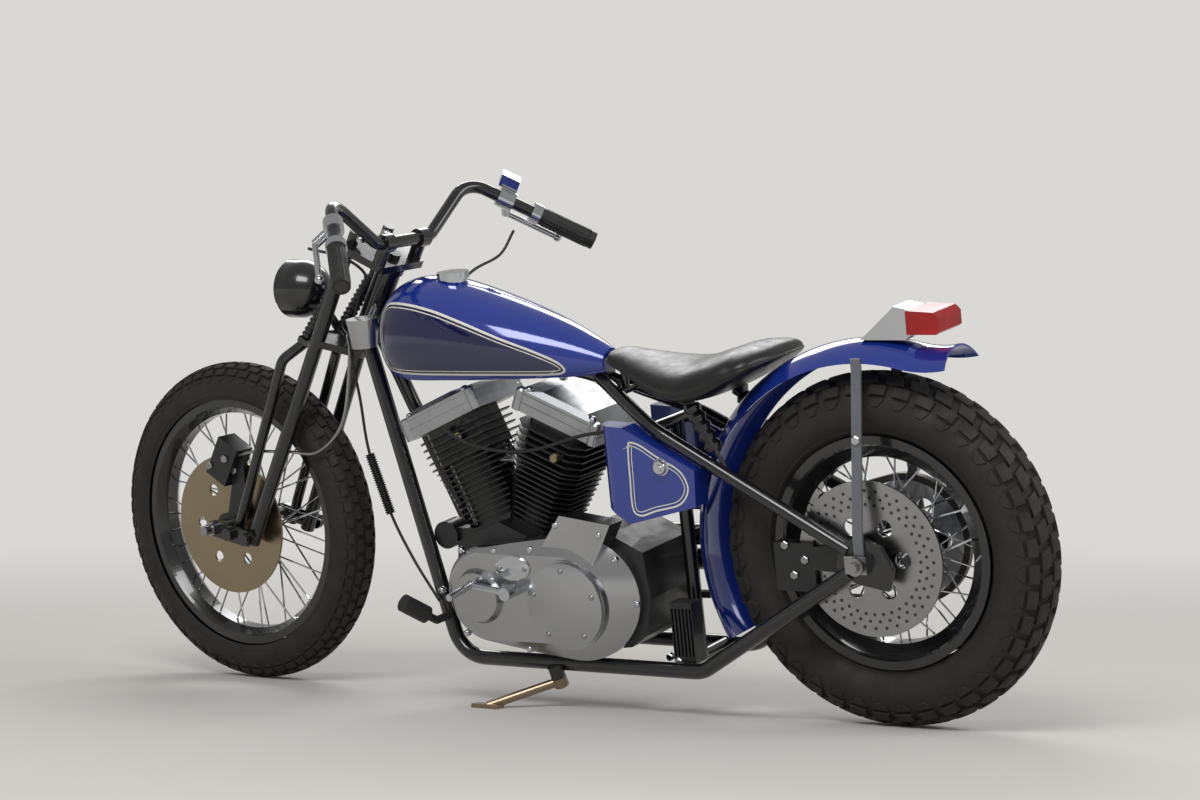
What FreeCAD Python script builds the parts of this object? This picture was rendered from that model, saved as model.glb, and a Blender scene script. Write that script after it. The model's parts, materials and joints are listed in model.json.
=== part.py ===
import FreeCAD, Part
import Sketcher
import math
import os
from types import SimpleNamespace

# Rigid-frame V-twin motorcycle with a springer fork, leaning on its side stand.
# Lengths are millimetres, angles degrees. Each piece is modelled upright, with X forward,
# Y to the rider's left, Z up and the rear wheel above the origin, then leaned as one.

doc = FreeCAD.newDocument("Motorcycle")
sheet = doc.addObject("Spreadsheet::Sheet", "Sizes")
dim = SimpleNamespace()
sheet_rows = []
pieces = {}


# How much of the shorter run a cord's arc takes at each end
cord_bend_share = 0.45


class Length:
    # A size that keeps the formula which ties it to the sheet

    def __init__(self, value, formula):
        self.value = float(value)
        self.formula = formula

    def __float__(self):
        return self.value

    def __add__(self, other):
        return Length(self.value + float(other), "(%s + %s)" % (self.formula, formula_of(other)))

    def __radd__(self, other):
        return self + other

    def __sub__(self, other):
        return Length(self.value - float(other), "(%s - %s)" % (self.formula, formula_of(other)))

    def __rsub__(self, other):
        return -self + other

    def __mul__(self, other):
        return Length(self.value * float(other), "(%s * %s)" % (self.formula, formula_of(other)))

    def __rmul__(self, other):
        return self * other

    def __truediv__(self, other):
        return Length(self.value / float(other), "(%s / %s)" % (self.formula, formula_of(other)))

    def __neg__(self):
        return Length(-self.value, "(-1 * %s)" % self.formula)


def formula_of(number):
    return number.formula if isinstance(number, Length) else "(%.9f)" % number


def define(values):
    # Adds one group of sizes to the sheet and makes each available as dim.name
    for name, value in values.items():
        sheet_rows.append(name)
        row = len(sheet_rows)
        sheet.set("A%d" % row, name)
        sheet.set("B%d" % row, str(value))
        sheet.setAlias("B%d" % row, name)
    sheet.recompute()
    for name in values:
        setattr(dim, name, Length(sheet.get(name), "Sizes." + name))


def vec(x, y, z):
    return FreeCAD.Vector(float(x), float(y), float(z))


def bind(thing, **properties):
    for name, length in properties.items():
        thing.setExpression(name, length.formula)


def move(place):
    return FreeCAD.Placement(place, FreeCAD.Rotation())


def turn(direction):
    # Rotation that carries Z onto a direction
    return FreeCAD.Rotation(vec(0, 0, 1), direction)


def keep(name, thing, group, place=None):
    # Registers a finished piece with the body that it belongs to
    thing.Label = name
    pieces[name] = (thing, place or FreeCAD.Placement(), group)
    return thing


def feature(name, shape, group, place=None):
    thing = doc.addObject("Part::Feature", name)
    thing.Shape = shape.removeSplitter() if len(shape.Solids) == 1 else shape
    return keep(name, thing, group, place)


def cylinder(name, radius, height, base, direction):
    thing = doc.addObject("Part::Cylinder", name)
    bind(thing, Radius=radius, Height=height)
    thing.Placement = FreeCAD.Placement(base, turn(direction))
    return thing


def fuse(name, *things):
    joined = doc.addObject("Part::MultiFuse", name)
    joined.Shapes = list(things)
    joined.Refine = True
    return joined


def cut(name, base, tool):
    left = doc.addObject("Part::Cut", name)
    left.Base = base
    left.Tool = tool
    left.Refine = True
    return left


def plane_of(body, role):
    return [item for item in body.Origin.OriginFeatures if item.Role == role][0]


def new_sketch(body, role, name):
    drawing = body.newObject("Sketcher::SketchObject", name)
    drawing.AttachmentSupport = [(plane_of(body, role), "")]
    drawing.MapMode = "FlatFace"
    return drawing


def tie_point(drawing, edge, end, across, up):
    # Holds one point of a sketch at two lengths from its origin
    for kind, axis, length in (("DistanceX", -2, across), ("DistanceY", -1, up)):
        if float(length) == 0:
            drawing.addConstraint(Sketcher.Constraint("PointOnObject", edge, end, axis))
            continue
        rule = drawing.addConstraint(Sketcher.Constraint(kind, -1, 1, edge, end, float(length)))
        if isinstance(length, Length):
            drawing.setExpression("Constraints[%d]" % rule, length.formula)


def draw_outline(drawing, corners):
    # A closed outline of straight edges through the corners
    first = drawing.GeometryCount
    count = len(corners)
    for index in range(count):
        here = vec(corners[index][0], corners[index][1], 0)
        there = vec(corners[(index + 1) % count][0], corners[(index + 1) % count][1], 0)
        drawing.addGeometry(Part.LineSegment(here, there), False)
    for index in range(count):
        after = first + (index + 1) % count
        drawing.addConstraint(Sketcher.Constraint("Coincident", first + index, 2, after, 1))
    for index in range(count):
        tie_point(drawing, first + index, 1, corners[index][0], corners[index][1])


def draw_circle(drawing, across, up, radius):
    ring = Part.Circle(vec(across, up, 0), vec(0, 0, 1), float(radius))
    edge = drawing.addGeometry(ring, False)
    rule = drawing.addConstraint(Sketcher.Constraint("Radius", edge, float(radius)))
    drawing.setExpression("Constraints[%d]" % rule, radius.formula)
    tie_point(drawing, edge, 3, across, up)


def new_body(name):
    return doc.addObject("PartDesign::Body", name)


def revolve(body, drawing):
    # Turns a sketch about its horizontal axis
    solid = body.newObject("PartDesign::Revolution", body.Name + "_turned")
    solid.Profile = drawing
    solid.ReferenceAxis = (drawing, ["H_Axis"])
    solid.Angle = 360
    return solid


def pad(body, drawing, length, middle=True):
    solid = body.newObject("PartDesign::Pad", drawing.Name + "_pad")
    solid.Profile = drawing
    solid.SideType = "Symmetric" if middle else "One side"
    bind(solid, Length=length)
    return solid


def pocket(body, drawing, depth):
    # Cuts to both sides of the sketch
    hole = body.newObject("PartDesign::Pocket", drawing.Name + "_pocket")
    hole.Profile = drawing
    hole.SideType = "Symmetric"
    bind(hole, Length=depth)
    return hole


def around(body, hole, drawing, count):
    # Repeats a cut round the sketch's own normal
    ring = body.newObject("PartDesign::PolarPattern", drawing.Name + "_ring")
    ring.Originals = [hole]
    ring.Axis = (drawing, ["N_Axis"])
    ring.Angle = 360
    bind(ring, Occurrences=count)
    body.Tip = ring
    return ring


def turned_piece(name, outlines, group, place):
    # A piece turned about the Y axis: outline corners are (across, radius)
    body = new_body(name)
    drawing = new_sketch(body, "YZ_Plane", name + "_section")
    for corners in outlines:
        draw_outline(drawing, corners)
    revolve(body, drawing)
    return keep(name, body, group, place)


def route_wire(points, radii):
    # Straight runs through the points joined by tangent arcs of the given radii
    edges = []
    start = points[0]
    for index in range(1, len(points) - 1):
        corner = points[index]
        back = (points[index - 1] - corner).normalize()
        ahead = (points[index + 1] - corner).normalize()
        half = back.getAngle(ahead) / 2
        reach = float(radii[index - 1]) / math.tan(half)
        middle = (back + ahead).normalize()
        centre = corner + middle * (float(radii[index - 1]) / math.sin(half))
        enter = corner + back * reach
        leave = corner + ahead * reach
        edges.append(Part.LineSegment(start, enter).toShape())
        edges.append(Part.Arc(enter, centre - middle * float(radii[index - 1]), leave).toShape())
        start = leave
    edges.append(Part.LineSegment(start, points[-1]).toShape())
    return Part.Wire(edges)


def pipe(points, radii, radius):
    # Round bar along a route
    wire = route_wire(points, radii)
    begin = (points[1] - points[0]).normalize()
    ring = Part.Wire([Part.Circle(points[0], begin, float(radius)).toShape()])
    sweep = Part.BRepOffsetAPI.MakePipeShell(wire)
    sweep.add(ring)
    sweep.build()
    sweep.makeSolid()
    solid = sweep.shape()
    if solid.Volume < 0:
        solid.reverse()
    return solid


def cord(points, radius):
    # Straight runs with as wide a tangent arc at each corner as the shorter run leaves
    radii = []
    for before, corner, after in zip(points, points[1:], points[2:]):
        shorter = min((corner - before).Length, (after - corner).Length)
        radii.append(cord_bend_share * shorter / math.tan((corner - before).getAngle(after - corner) / 2))
    return pipe(points, radii, radius)


def bar(start, end, radius):
    run = end - start
    return Part.makeCylinder(float(radius), run.Length, start, run)


def mirrored(shape):
    # The same shape on the right-hand side
    return shape.mirror(vec(0, 0, 0), vec(0, 1, 0))


def both_sides(shape):
    return Part.makeCompound([shape, mirrored(shape)])


def plate(corners, side, thickness):
    # Flat plate in a plane of constant Y: corners are (forward, up), grown to the left of side
    points = [vec(across, side, up) for across, up in corners]
    face = Part.Face(Part.makePolygon(points + [points[0]]))
    return face.extrude(vec(0, thickness, 0))


define({
    "leanAngle": 10.5,  # lean to the left on the side stand
    "steerAngle": -5.9,  # fork turned slightly to the right
    "rakeAngle": 30,  # steering head from the vertical
    "headX": 1117,  # middle of the steering head, forward of the rear axle
    "headZ": 815,  # middle of the steering head, above the floor line
    "axleReach": 122,  # front axle ahead of the steering axis
    "rearTyreRadius": 339,  # to the tips of the lugs
    "rearSectionRadius": 64,  # half the width of the rear tyre
    "frontTyreRadius": 339,  # to the tips of the lugs
    "frontSectionRadius": 50,  # half the width of the front tyre
    "lugHeight": 8,  # tread blocks of both tyres
    "rearLugCount": 40,  # rows of lugs round the rear tyre
    "frontLugCount": 44,  # rows of lugs round the front tyre
    "axleRadius": 10,  # both axles
    "fitClearance": 0.3,  # between pieces that are put together
    "cutOverrun": 5,  # tools reach past what they cut
})

lean = math.radians(dim.leanAngle)
steer = math.radians(dim.steerAngle)
rake = math.radians(dim.rakeAngle)


def standing_height(tyre_radius, section_radius, axle_rise):
    # Height of a wheel's middle over the floor, for an axle that rises by axle_rise
    middle = float(tyre_radius) - float(section_radius)
    return middle * math.sqrt(1 - axle_rise ** 2) + float(section_radius)


rear_z = standing_height(dim.rearTyreRadius, dim.rearSectionRadius, math.sin(lean)) / math.cos(lean)
rear_centre = vec(0, 0, rear_z)

# The fork's own directions: along the steering axis and ahead of it
axis_up = vec(-math.sin(rake), 0, math.cos(rake))
axis_ahead = vec(math.cos(rake), 0, math.sin(rake))
head = vec(dim.headX, 0, dim.headZ)
front_rise = -math.cos(steer) * math.sin(lean) - math.sin(rake) * math.sin(steer) * math.cos(lean)
front_height = standing_height(dim.frontTyreRadius, dim.frontSectionRadius, front_rise)
reach_height = (math.cos(steer) * math.sin(rake) * math.cos(lean) - math.sin(steer) * math.sin(lean))
axle_drop = float(dim.headZ) * math.cos(lean) + float(dim.axleReach) * reach_height - front_height
axle_drop = axle_drop / (math.cos(rake) * math.cos(lean))


def fork(drop, reach, side):
    # A point by its distance down the steering axis, ahead of it and to the left
    return head - axis_up * float(drop) + axis_ahead * float(reach) + vec(0, side, 0)


front_centre = fork(axle_drop, dim.axleReach, 0)


# Section of a tyre: angle from the crown in degrees, and share of the carcass or full radius
crown_edge_angle = 20
shoulder_angle = 62
wall_angle = 100
crown_lug_share = 0.74
shoulder_lug_share = 0.72
lug_length_share = 0.6


def tyre_section(middle, section_radius, carcass_radius, bore_radius):
    # Corners from the bore up one wall, over the crown and down the other, as (side, radius)
    bead = section_radius * math.sin(math.acos((middle - bore_radius) / section_radius))
    right = [(bead, bore_radius)]
    for angle, radius in ((wall_angle, section_radius), (shoulder_angle, carcass_radius), (crown_edge_angle, carcass_radius)):
        turned = math.radians(angle)
        right.append((radius * math.sin(turned), middle + radius * math.cos(turned)))
    return right + [(-side, radius) for side, radius in reversed(right)]


def lug(middle, section_radius, carcass_radius, low_angle, high_angle, share, length):
    # A block on one flat of the carcass, with the edges of its top on the tyre's full section
    half_span = math.radians(high_angle - low_angle) / 2
    tilt = math.radians(high_angle + low_angle) / 2
    half_width = carcass_radius * math.sin(half_span) * share
    flat = carcass_radius * math.cos(half_span)
    top = math.sqrt(section_radius ** 2 - half_width ** 2) - length ** 2 / (8 * (middle + section_radius))
    root = flat - (top - flat) / 2
    block = Part.makeBox(length, half_width * 2, top - root, vec(-length / 2, -half_width, root))
    block.Placement = FreeCAD.Placement(vec(0, 0, middle), FreeCAD.Rotation(vec(1, 0, 0), -math.degrees(tilt)))
    return block


def tyre(name, tyre_radius, section_radius, flange_radius, lip, lug_height, lug_count, group, place):
    # A ring of equal flat-sided lengths, each with three lugs, open inside over the rim
    middle = float(tyre_radius - section_radius)
    full = float(section_radius)
    carcass = full - float(lug_height)
    count = round(float(lug_count))
    half_step = math.pi / count
    slope = math.tan(half_step)
    section = tyre_section(middle, full, carcass, float(flange_radius + lip))
    ends = [[vec(sign * radius * slope, side, radius) for side, radius in section] for sign in (-1, 1)]
    faces = [Part.Face(Part.makePolygon(end + [end[0]])) for end in ends]
    for index in range(len(section)):
        after = (index + 1) % len(section)
        corners = [ends[0][index], ends[1][index], ends[1][after], ends[0][after]]
        faces.append(Part.Face(Part.makePolygon(corners + [corners[0]])))
    length_solid = Part.Solid(Part.Shell(faces))
    crown_length = 2 * (middle + full) * slope * lug_length_share
    side_length = 2 * (middle + carcass * math.cos(math.radians(shoulder_angle))) * slope * lug_length_share
    lugs = [lug(middle, full, carcass, -crown_edge_angle, crown_edge_angle, crown_lug_share, crown_length)]
    for sign in (1, -1):
        inner, outer = sorted((sign * crown_edge_angle, sign * shoulder_angle))
        lugs.append(lug(middle, full, carcass, inner, outer, shoulder_lug_share, side_length))
    length_solid = length_solid.fuse(lugs)
    outside = []
    for face in length_solid.Faces:
        slants = [abs(abs(vertex.X) - vertex.Z * slope) for vertex in face.Vertexes]
        sides = {vertex.X > 0 for vertex in face.Vertexes}
        if max(slants) > 1e-6 * middle or len(sides) == 2:
            outside.append(face)
    ring = []
    for step in range(count):
        turned = FreeCAD.Placement(vec(0, 0, 0), FreeCAD.Rotation(vec(0, 1, 0), 360 * step / count))
        ring.extend(face.transformGeometry(turned.toMatrix()) for face in outside)
    sewn = Part.makeCompound(ring)
    sewn.sewShape()
    whole = Part.Solid(sewn.Shells[0] if sewn.Shells else Part.Shell(ring))
    if whole.Volume < 0:
        whole.reverse()
    thing = doc.addObject("Part::Feature", name)
    thing.Shape = whole
    return keep(name, thing, group, place)


def rim(name, flange_radius, well_radius, half_width, wall, group, place):
    # Drop-centre rim: two flanges, bead seats and a well between them
    shoulder = flange_radius - wall * 3
    seat_share = 0.86
    well_share = 0.42
    outer = [
        (-half_width, flange_radius),
        (-half_width, shoulder - wall),
        (-half_width * seat_share, shoulder - wall * 2),
        (-half_width * well_share, well_radius),
        (half_width * well_share, well_radius),
        (half_width * seat_share, shoulder - wall * 2),
        (half_width, shoulder - wall),
        (half_width, flange_radius),
        (half_width - wall, flange_radius),
        (half_width - wall, shoulder),
        (half_width * seat_share - wall, shoulder - wall),
        (half_width * well_share, well_radius + wall),
        (-half_width * well_share, well_radius + wall),
        (-half_width * seat_share + wall, shoulder - wall),
        (-half_width + wall, shoulder),
        (-half_width + wall, flange_radius),
    ]
    return turned_piece(name, [outer], group, place)


define({
    "rearFlangeRadius": 222,  # edge of the rear rim
    "rearRimWell": 178,  # bottom of the rear rim
    "rearRimHalfWidth": 42,  # rear rim over its flanges
    "rearHubRadius": 29,  # barrel of the rear hub
    "rearHubFlange": 50,  # spoke flange of the rear hub
    "rearHubHalf": 78,  # rear hub over its ends
    "frontFlangeRadius": 261,  # edge of the front rim
    "frontRimWell": 230,  # bottom of the front rim
    "frontRimHalfWidth": 35,  # front rim over its flanges
    "frontHubRadius": 25,  # barrel of the front hub
    "frontHubFlange": 40,  # spoke flange of the front hub
    "frontHubHalf": 55,  # front hub over its ends
    "hubFlangeWidth": 6,  # spoke flange
    "rimWall": 4,  # wall of the rim
    "spokeRadius": 2,  # one spoke
    "spokeCount": 40,  # spokes in each wheel
    "spokeFaces": 6,  # flats that stand for a round spoke
    "spokeRimGap": 1.5,  # spoke ends short of the rim's well
    "spokeRimHalf": 8,  # nipples left and right of the rim's middle
    "rearDiscRadius": 147,  # rear brake disc
    "rearDiscThickness": 6,  # rear brake disc
    "rearDiscBore": 22,  # hole over the end of the hub
    "rearDiscHole": 16,  # large round holes
    "rearDiscSmallHole": 10,  # smaller round holes between them
    "rearDiscHoleCircle": 68,  # circle of the round holes
    "frontDiscRadius": 146,  # front brake disc
    "frontDiscThickness": 5,  # front brake disc
    "frontDiscBore": 20,  # hole over the end of the hub
    "frontSlotCircle": 82,  # circle of the slots in the carrier
    "frontSlotHole": 12,  # slots in the carrier
    "sprocketRadius": 112,  # to the tips of the teeth
    "sprocketThickness": 7,  # rear sprocket
    "sprocketHole": 17,  # lightening holes
    "sprocketHoleCircle": 70,  # circle of the lightening holes
    "windowCount": 6,  # windows in each disc and sprocket
})


def disc(name, radius, thickness, bore, hole, circle, group, place):
    # Flat disc with a bore and a ring of windows
    body = new_body(name)
    blank = new_sketch(body, "XZ_Plane", name + "_blank")
    draw_circle(blank, 0, 0, radius)
    draw_circle(blank, 0, 0, bore)
    pad(body, blank, thickness)
    window = new_sketch(body, "XZ_Plane", name + "_window")
    draw_circle(window, circle, 0, hole)
    opened = pocket(body, window, thickness * 3)
    around(body, opened, window, dim.windowCount)
    return body


def laced_hub(name, barrel, flange, half_width, rim_well, group, place):
    # The hub with its spokes, which end just short of the rim's well
    body = new_body(name + "_shell")
    drawing = new_sketch(body, "YZ_Plane", name + "_section")
    bore = dim.axleRadius + dim.fitClearance
    width = dim.hubFlangeWidth
    inset = width * 2
    corners = [
        (-half_width, bore),
        (half_width, bore),
        (half_width, bore + width),
        (half_width - width, barrel),
        (half_width - inset, barrel),
        (half_width - inset, flange),
        (half_width - inset - width, flange),
        (half_width - inset - width, barrel),
        (-half_width + inset + width, barrel),
        (-half_width + inset + width, flange),
        (-half_width + inset, flange),
        (-half_width + inset, barrel),
        (-half_width + width, barrel),
        (-half_width, bore + width),
    ]
    draw_outline(drawing, corners)
    revolve(body, drawing)
    doc.recompute()
    rods = spokes(float(flange), float(half_width - inset - width / 2), float(rim_well))
    return feature(name, body.Shape.fuse(rods), group, place)


def spokes(flange_radius, flange_side, rim_well):
    # Laced spokes: each leaves its flange near a tangent and crosses its neighbours
    hub_share = 0.93
    tangent_share = 0.72
    rods = []
    count = round(dim.spokeCount.value)
    faces = round(dim.spokeFaces.value)
    thick = dim.spokeRadius.value
    outer = rim_well - dim.spokeRimGap.value
    inner = flange_radius * hub_share
    swing = math.acos(inner / outer) * tangent_share
    for index in range(count):
        side = 1 if index % 2 else -1
        forward = 1 if index % 4 < 2 else -1
        far = 2 * math.pi * index / count
        near = far - forward * swing
        start = vec(inner * math.cos(near), side * flange_side, inner * math.sin(near))
        end = vec(outer * math.cos(far), side * dim.spokeRimHalf.value, outer * math.sin(far))
        run = end - start
        across = run.cross(vec(0, 1, 0)).normalize()
        beside = run.cross(across).normalize()
        corners = []
        for flat in range(faces + 1):
            angle = 2 * math.pi * flat / faces
            corners.append(start + across * (thick * math.cos(angle)) + beside * (thick * math.sin(angle)))
        rods.append(Part.Face(Part.makePolygon(corners)).extrude(run))
    return rods


def make_rear_wheel():
    place = move(rear_centre)
    tyre("rear_tyre", dim.rearTyreRadius, dim.rearSectionRadius, dim.rearFlangeRadius, dim.fitClearance,
         dim.lugHeight, dim.rearLugCount, "rear_wheel", place)
    rim("rear_rim", dim.rearFlangeRadius, dim.rearRimWell, dim.rearRimHalfWidth, dim.rimWall, "rear_wheel", place)
    laced_hub("rear_hub", dim.rearHubRadius, dim.rearHubFlange, dim.rearHubHalf, dim.rearRimWell, "rear_wheel", place)
    brake = disc("rear_disc", dim.rearDiscRadius, dim.rearDiscThickness, dim.rearDiscBore, dim.rearDiscHole,
                 dim.rearDiscHoleCircle, "rear_wheel", place)
    seat_side = float(dim.rearHubHalf + dim.rearDiscThickness / 2)
    keep("rear_disc", brake, "rear_wheel", move(rear_centre + vec(0, seat_side, 0)))
    toothed = disc("rear_sprocket", dim.sprocketRadius, dim.sprocketThickness, dim.rearDiscBore, dim.sprocketHole,
                   dim.sprocketHoleCircle, "rear_wheel", place)
    seat_side = float(dim.rearHubHalf + dim.sprocketThickness / 2)
    keep("rear_sprocket", toothed, "rear_wheel", move(rear_centre - vec(0, seat_side, 0)))


def make_front_wheel():
    place = move(front_centre)
    tyre("front_tyre", dim.frontTyreRadius, dim.frontSectionRadius, dim.frontFlangeRadius, dim.fitClearance,
         dim.lugHeight, dim.frontLugCount, "front_wheel", place)
    rim("front_rim", dim.frontFlangeRadius, dim.frontRimWell, dim.frontRimHalfWidth, dim.rimWall, "front_wheel", place)
    laced_hub("front_hub", dim.frontHubRadius, dim.frontHubFlange, dim.frontHubHalf, dim.frontRimWell, "front_wheel", place)
    brake = disc("front_disc", dim.frontDiscRadius, dim.frontDiscThickness, dim.frontDiscBore, dim.frontSlotHole,
                 dim.frontSlotCircle, "front_wheel", place)
    seat_side = float(dim.frontHubHalf + dim.frontDiscThickness / 2)
    keep("front_disc", brake, "front_wheel", move(front_centre + vec(0, seat_side, 0)))


make_rear_wheel()
make_front_wheel()


define({
    "headLength": 190,  # tube of the steering head
    "headDrop": 18,  # middle of the steering head down the axis
    "headRadius": 26,  # outside of the steering head
    "headCupRadius": 30,  # bearing cup at each end of the head
    "headCupHeight": 10,  # bearing cup at each end of the head
    "stemRadius": 13,  # steering stem
    "backboneRadius": 19,  # main tube under the tank
    "backboneDrop": 42,  # backbone leaves the head below its middle
    "seatJointX": 600,  # where the backbone meets the upper stays
    "seatJointZ": 660,  # where the backbone meets the upper stays
    "downtubeRadius": 15,  # downtubes and bottom rails
    "downtubeTopSide": 20,  # downtube at the head, from the centre line
    "downtubeDrop": 62,  # downtubes leave the head down the axis
    "railX": 931,  # corner between downtube and bottom rail
    "railZ": 108,  # middle of the bottom rail
    "railSide": 102,  # bottom rails from the centre line
    "railBend": 75,  # bend at the front of the rail
    "kickX": 372,  # corner where the rail climbs to the axle
    "kickBend": 60,  # bend where the rail climbs
    "plateSide": 108,  # inner face of an axle plate
    "plateThickness": 12,  # axle plate
    "plateHeight": 100,  # axle plate
    "plateLength": 104,  # axle plate
    "stayRadius": 13,  # upper stays
    "stayKneeX": 440,  # upper stays bend in to the backbone
    "stayKneeSide": 88,  # upper stays at their bend
    "stayKneeZ": 577,  # upper stays at their bend
    "stayBend": 150,  # bend of the upper stays
    "stayEndRise": 22,  # upper stays meet the plates above the axle
    "railEndDrop": 18,  # lower stays meet the plates below the axle
    "seatPostX": 436,  # seat post behind the engine
    "seatPostRadius": 14,  # seat post
    "crossRadius": 12,  # cross tubes
    "boxTieRadius": 8,  # tie between the side boxes
    "boxTieZ": 500,  # tie between the side boxes
    "fenderTabZ": 410,  # tab from the seat post to the fender
    "fenderTabRadius": 9,  # tab from the seat post to the fender
    "axleHalfLength": 156,  # rear axle from the centre line
    "axleNutRadius": 17,  # nuts and spacers of the rear axle
    "axleNutLength": 14,  # nut of the rear axle
    "adjusterSize": 34,  # chain adjuster block outside each plate
    "adjusterThickness": 12,  # chain adjuster block
})

rear_plate_share = [(0.0, 0.0), (0.62, 0.12), (1.0, 0.42), (0.9, 0.86), (0.5, 1.0), (0.1, 0.82), (-0.12, 0.4)]


def carve(shape, *others):
    # Copes a piece against the ones that it meets
    return shape.cut(list(others))


def head_end(sign):
    # Lower or upper end of the steering head, along the steering axis
    return float(dim.headDrop) + sign * float(dim.headLength) / 2


def head_solid():
    return Part.makeCylinder(float(dim.headRadius), float(dim.headLength), fork(head_end(1), 0, 0), axis_up)


def make_head():
    low = fork(head_end(1), 0, 0)
    outer = cylinder("head_tube", dim.headRadius, dim.headLength, low, axis_up)
    lower_cup = cylinder("head_cup_low", dim.headCupRadius, dim.headCupHeight, low, axis_up)
    high = fork(head_end(-1) + float(dim.headCupHeight), 0, 0)
    upper_cup = cylinder("head_cup_high", dim.headCupRadius, dim.headCupHeight, high, axis_up)
    start = fork(head_end(1) + float(dim.cutOverrun), 0, 0)
    bore = cylinder("head_bore", dim.stemRadius + dim.fitClearance, dim.headLength + dim.cutOverrun * 2, start, axis_up)
    head_piece = cut("steering_head", fuse("head_blank", outer, lower_cup, upper_cup), bore)
    doc.recompute()
    return keep("steering_head", head_piece, "frame")


def downtube_shape(side, radius=None):
    # One tube from the head, along the bottom and up to the axle plate
    axle_x = float(dim.plateLength) / 2
    end_side = float(dim.plateSide + dim.plateThickness / 2)
    points = [
        fork(dim.downtubeDrop, 0, side * dim.downtubeTopSide),
        vec(dim.railX, side * dim.railSide, dim.railZ),
        vec(dim.kickX, side * dim.railSide, dim.railZ),
        vec(axle_x / 2, side * end_side, rear_z - float(dim.railEndDrop)),
    ]
    return pipe(points, [dim.railBend, dim.kickBend], radius or dim.downtubeRadius)


def stay_shape(side):
    axle_x = float(dim.plateLength) / 2
    end_side = float(dim.plateSide + dim.plateThickness / 2)
    points = [
        vec(dim.seatJointX, side * dim.backboneRadius / 2, dim.seatJointZ),
        vec(dim.stayKneeX, side * dim.stayKneeSide, dim.stayKneeZ),
        vec(axle_x / 2, side * end_side, rear_z + float(dim.stayEndRise)),
    ]
    return pipe(points, [dim.stayBend], dim.stayRadius)


def axle_plate_shape(side):
    # Plate with its rear end round and its front edge between the two stays
    low = rear_z - float(dim.plateHeight) / 2
    rear = -float(dim.plateLength) / 2
    corners = [(rear + share[0] * float(dim.plateLength), low + share[1] * float(dim.plateHeight))
               for share in rear_plate_share]
    near = float(dim.plateSide) if side > 0 else -float(dim.plateSide + dim.plateThickness)
    blank = plate(corners, near, float(dim.plateThickness))
    slot = Part.makeCylinder(float(dim.axleRadius + dim.fitClearance), float(dim.plateThickness) * 3,
                             vec(0, near - float(dim.plateThickness), rear_z), vec(0, 1, 0))
    return blank.cut(slot)


def make_frame():
    make_head()
    solid_head = head_solid()
    plates = [axle_plate_shape(1), axle_plate_shape(-1)]
    feature("axle_plates", Part.makeCompound(plates), "frame")
    joint = vec(dim.seatJointX, 0, dim.seatJointZ)
    spine = bar(fork(dim.backboneDrop, 0, 0), joint - vec(dim.backboneRadius, 0, 0), dim.backboneRadius)
    knee_cross = bar(vec(dim.stayKneeX, -dim.stayKneeSide, dim.stayKneeZ),
                     vec(dim.stayKneeX, dim.stayKneeSide, dim.stayKneeZ), dim.crossRadius)
    low_cross = bar(vec(dim.seatPostX, -dim.railSide, dim.railZ), vec(dim.seatPostX, dim.railSide, dim.railZ), dim.crossRadius)
    post = bar(vec(dim.seatPostX, 0, dim.railZ), vec(dim.stayKneeX, 0, dim.stayKneeZ), dim.seatPostRadius)
    tie = bar(vec(dim.seatPostX, -dim.boxInner + dim.fitClearance, dim.boxTieZ),
              vec(dim.seatPostX, dim.boxInner - dim.fitClearance, dim.boxTieZ), dim.boxTieRadius)
    fender_drum = Part.makeCylinder(float(dim.fenderRadius + dim.fitClearance), 2 * float(dim.fenderHalfWidth),
                                    rear_centre - vec(0, dim.fenderHalfWidth, 0), vec(0, 1, 0))
    tab = bar(vec(0, 0, dim.fenderTabZ), vec(dim.seatPostX, 0, dim.fenderTabZ), dim.fenderTabRadius).cut(fender_drum)
    downtubes = [carve(downtube_shape(side), solid_head, *plates) for side in (1, -1)]
    backbone = carve(spine, solid_head, *downtubes)
    stays = [carve(stay_shape(side), backbone, *plates) for side in (1, -1)]
    feature("backbone", backbone, "frame")
    downtubes[0] = downtubes[0].fuse(stand_lug_shape())
    feature("downtubes", Part.makeCompound(downtubes), "frame")
    stays[0] = stays[0].fuse(seat_pivot_shape())
    stays[0] = stays[0].fuse(stays[1])
    feature("upper_stays", stays[0], "frame")
    post_shape = carve(post.fuse([knee_cross, low_cross, tie, tab]), *(downtubes + stays))
    feature("seat_post", post_shape, "frame")


def make_rear_axle():
    end = float(dim.axleHalfLength)
    shaft = Part.makeCylinder(float(dim.axleRadius), 2 * end, vec(0, -end, rear_z), vec(0, 1, 0))
    outside = float(dim.plateSide + dim.plateThickness + dim.fitClearance)
    block_size = float(dim.adjusterSize)
    block_depth = float(dim.adjusterThickness)
    extras = []
    for side in (1, -1):
        seat = outside if side > 0 else -outside - block_depth
        extras.append(Part.makeBox(block_size * 1.3, block_depth, block_size,
                                   vec(-block_size / 2, seat, rear_z - block_size / 2)))
        nut_seat = outside + block_depth if side > 0 else -outside - block_depth - float(dim.axleNutLength)
        extras.append(Part.makeCylinder(float(dim.axleNutRadius), float(dim.axleNutLength),
                                        vec(0, nut_seat, rear_z), vec(0, 1, 0)))
    left_seat = float(dim.rearHubHalf + dim.rearDiscThickness + dim.fitClearance)
    length = float(dim.plateSide - dim.fitClearance) - left_seat
    extras.append(Part.makeCylinder(float(dim.axleNutRadius), length, vec(0, left_seat, rear_z), vec(0, 1, 0)))
    right_seat = float(dim.rearHubHalf + dim.sprocketThickness + dim.fitClearance)
    length = float(dim.plateSide - dim.fitClearance) - right_seat
    extras.append(Part.makeCylinder(float(dim.axleNutRadius), length, vec(0, -right_seat - length, rear_z), vec(0, 1, 0)))
    feature("rear_axle", shaft.fuse(extras), "frame")


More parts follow.
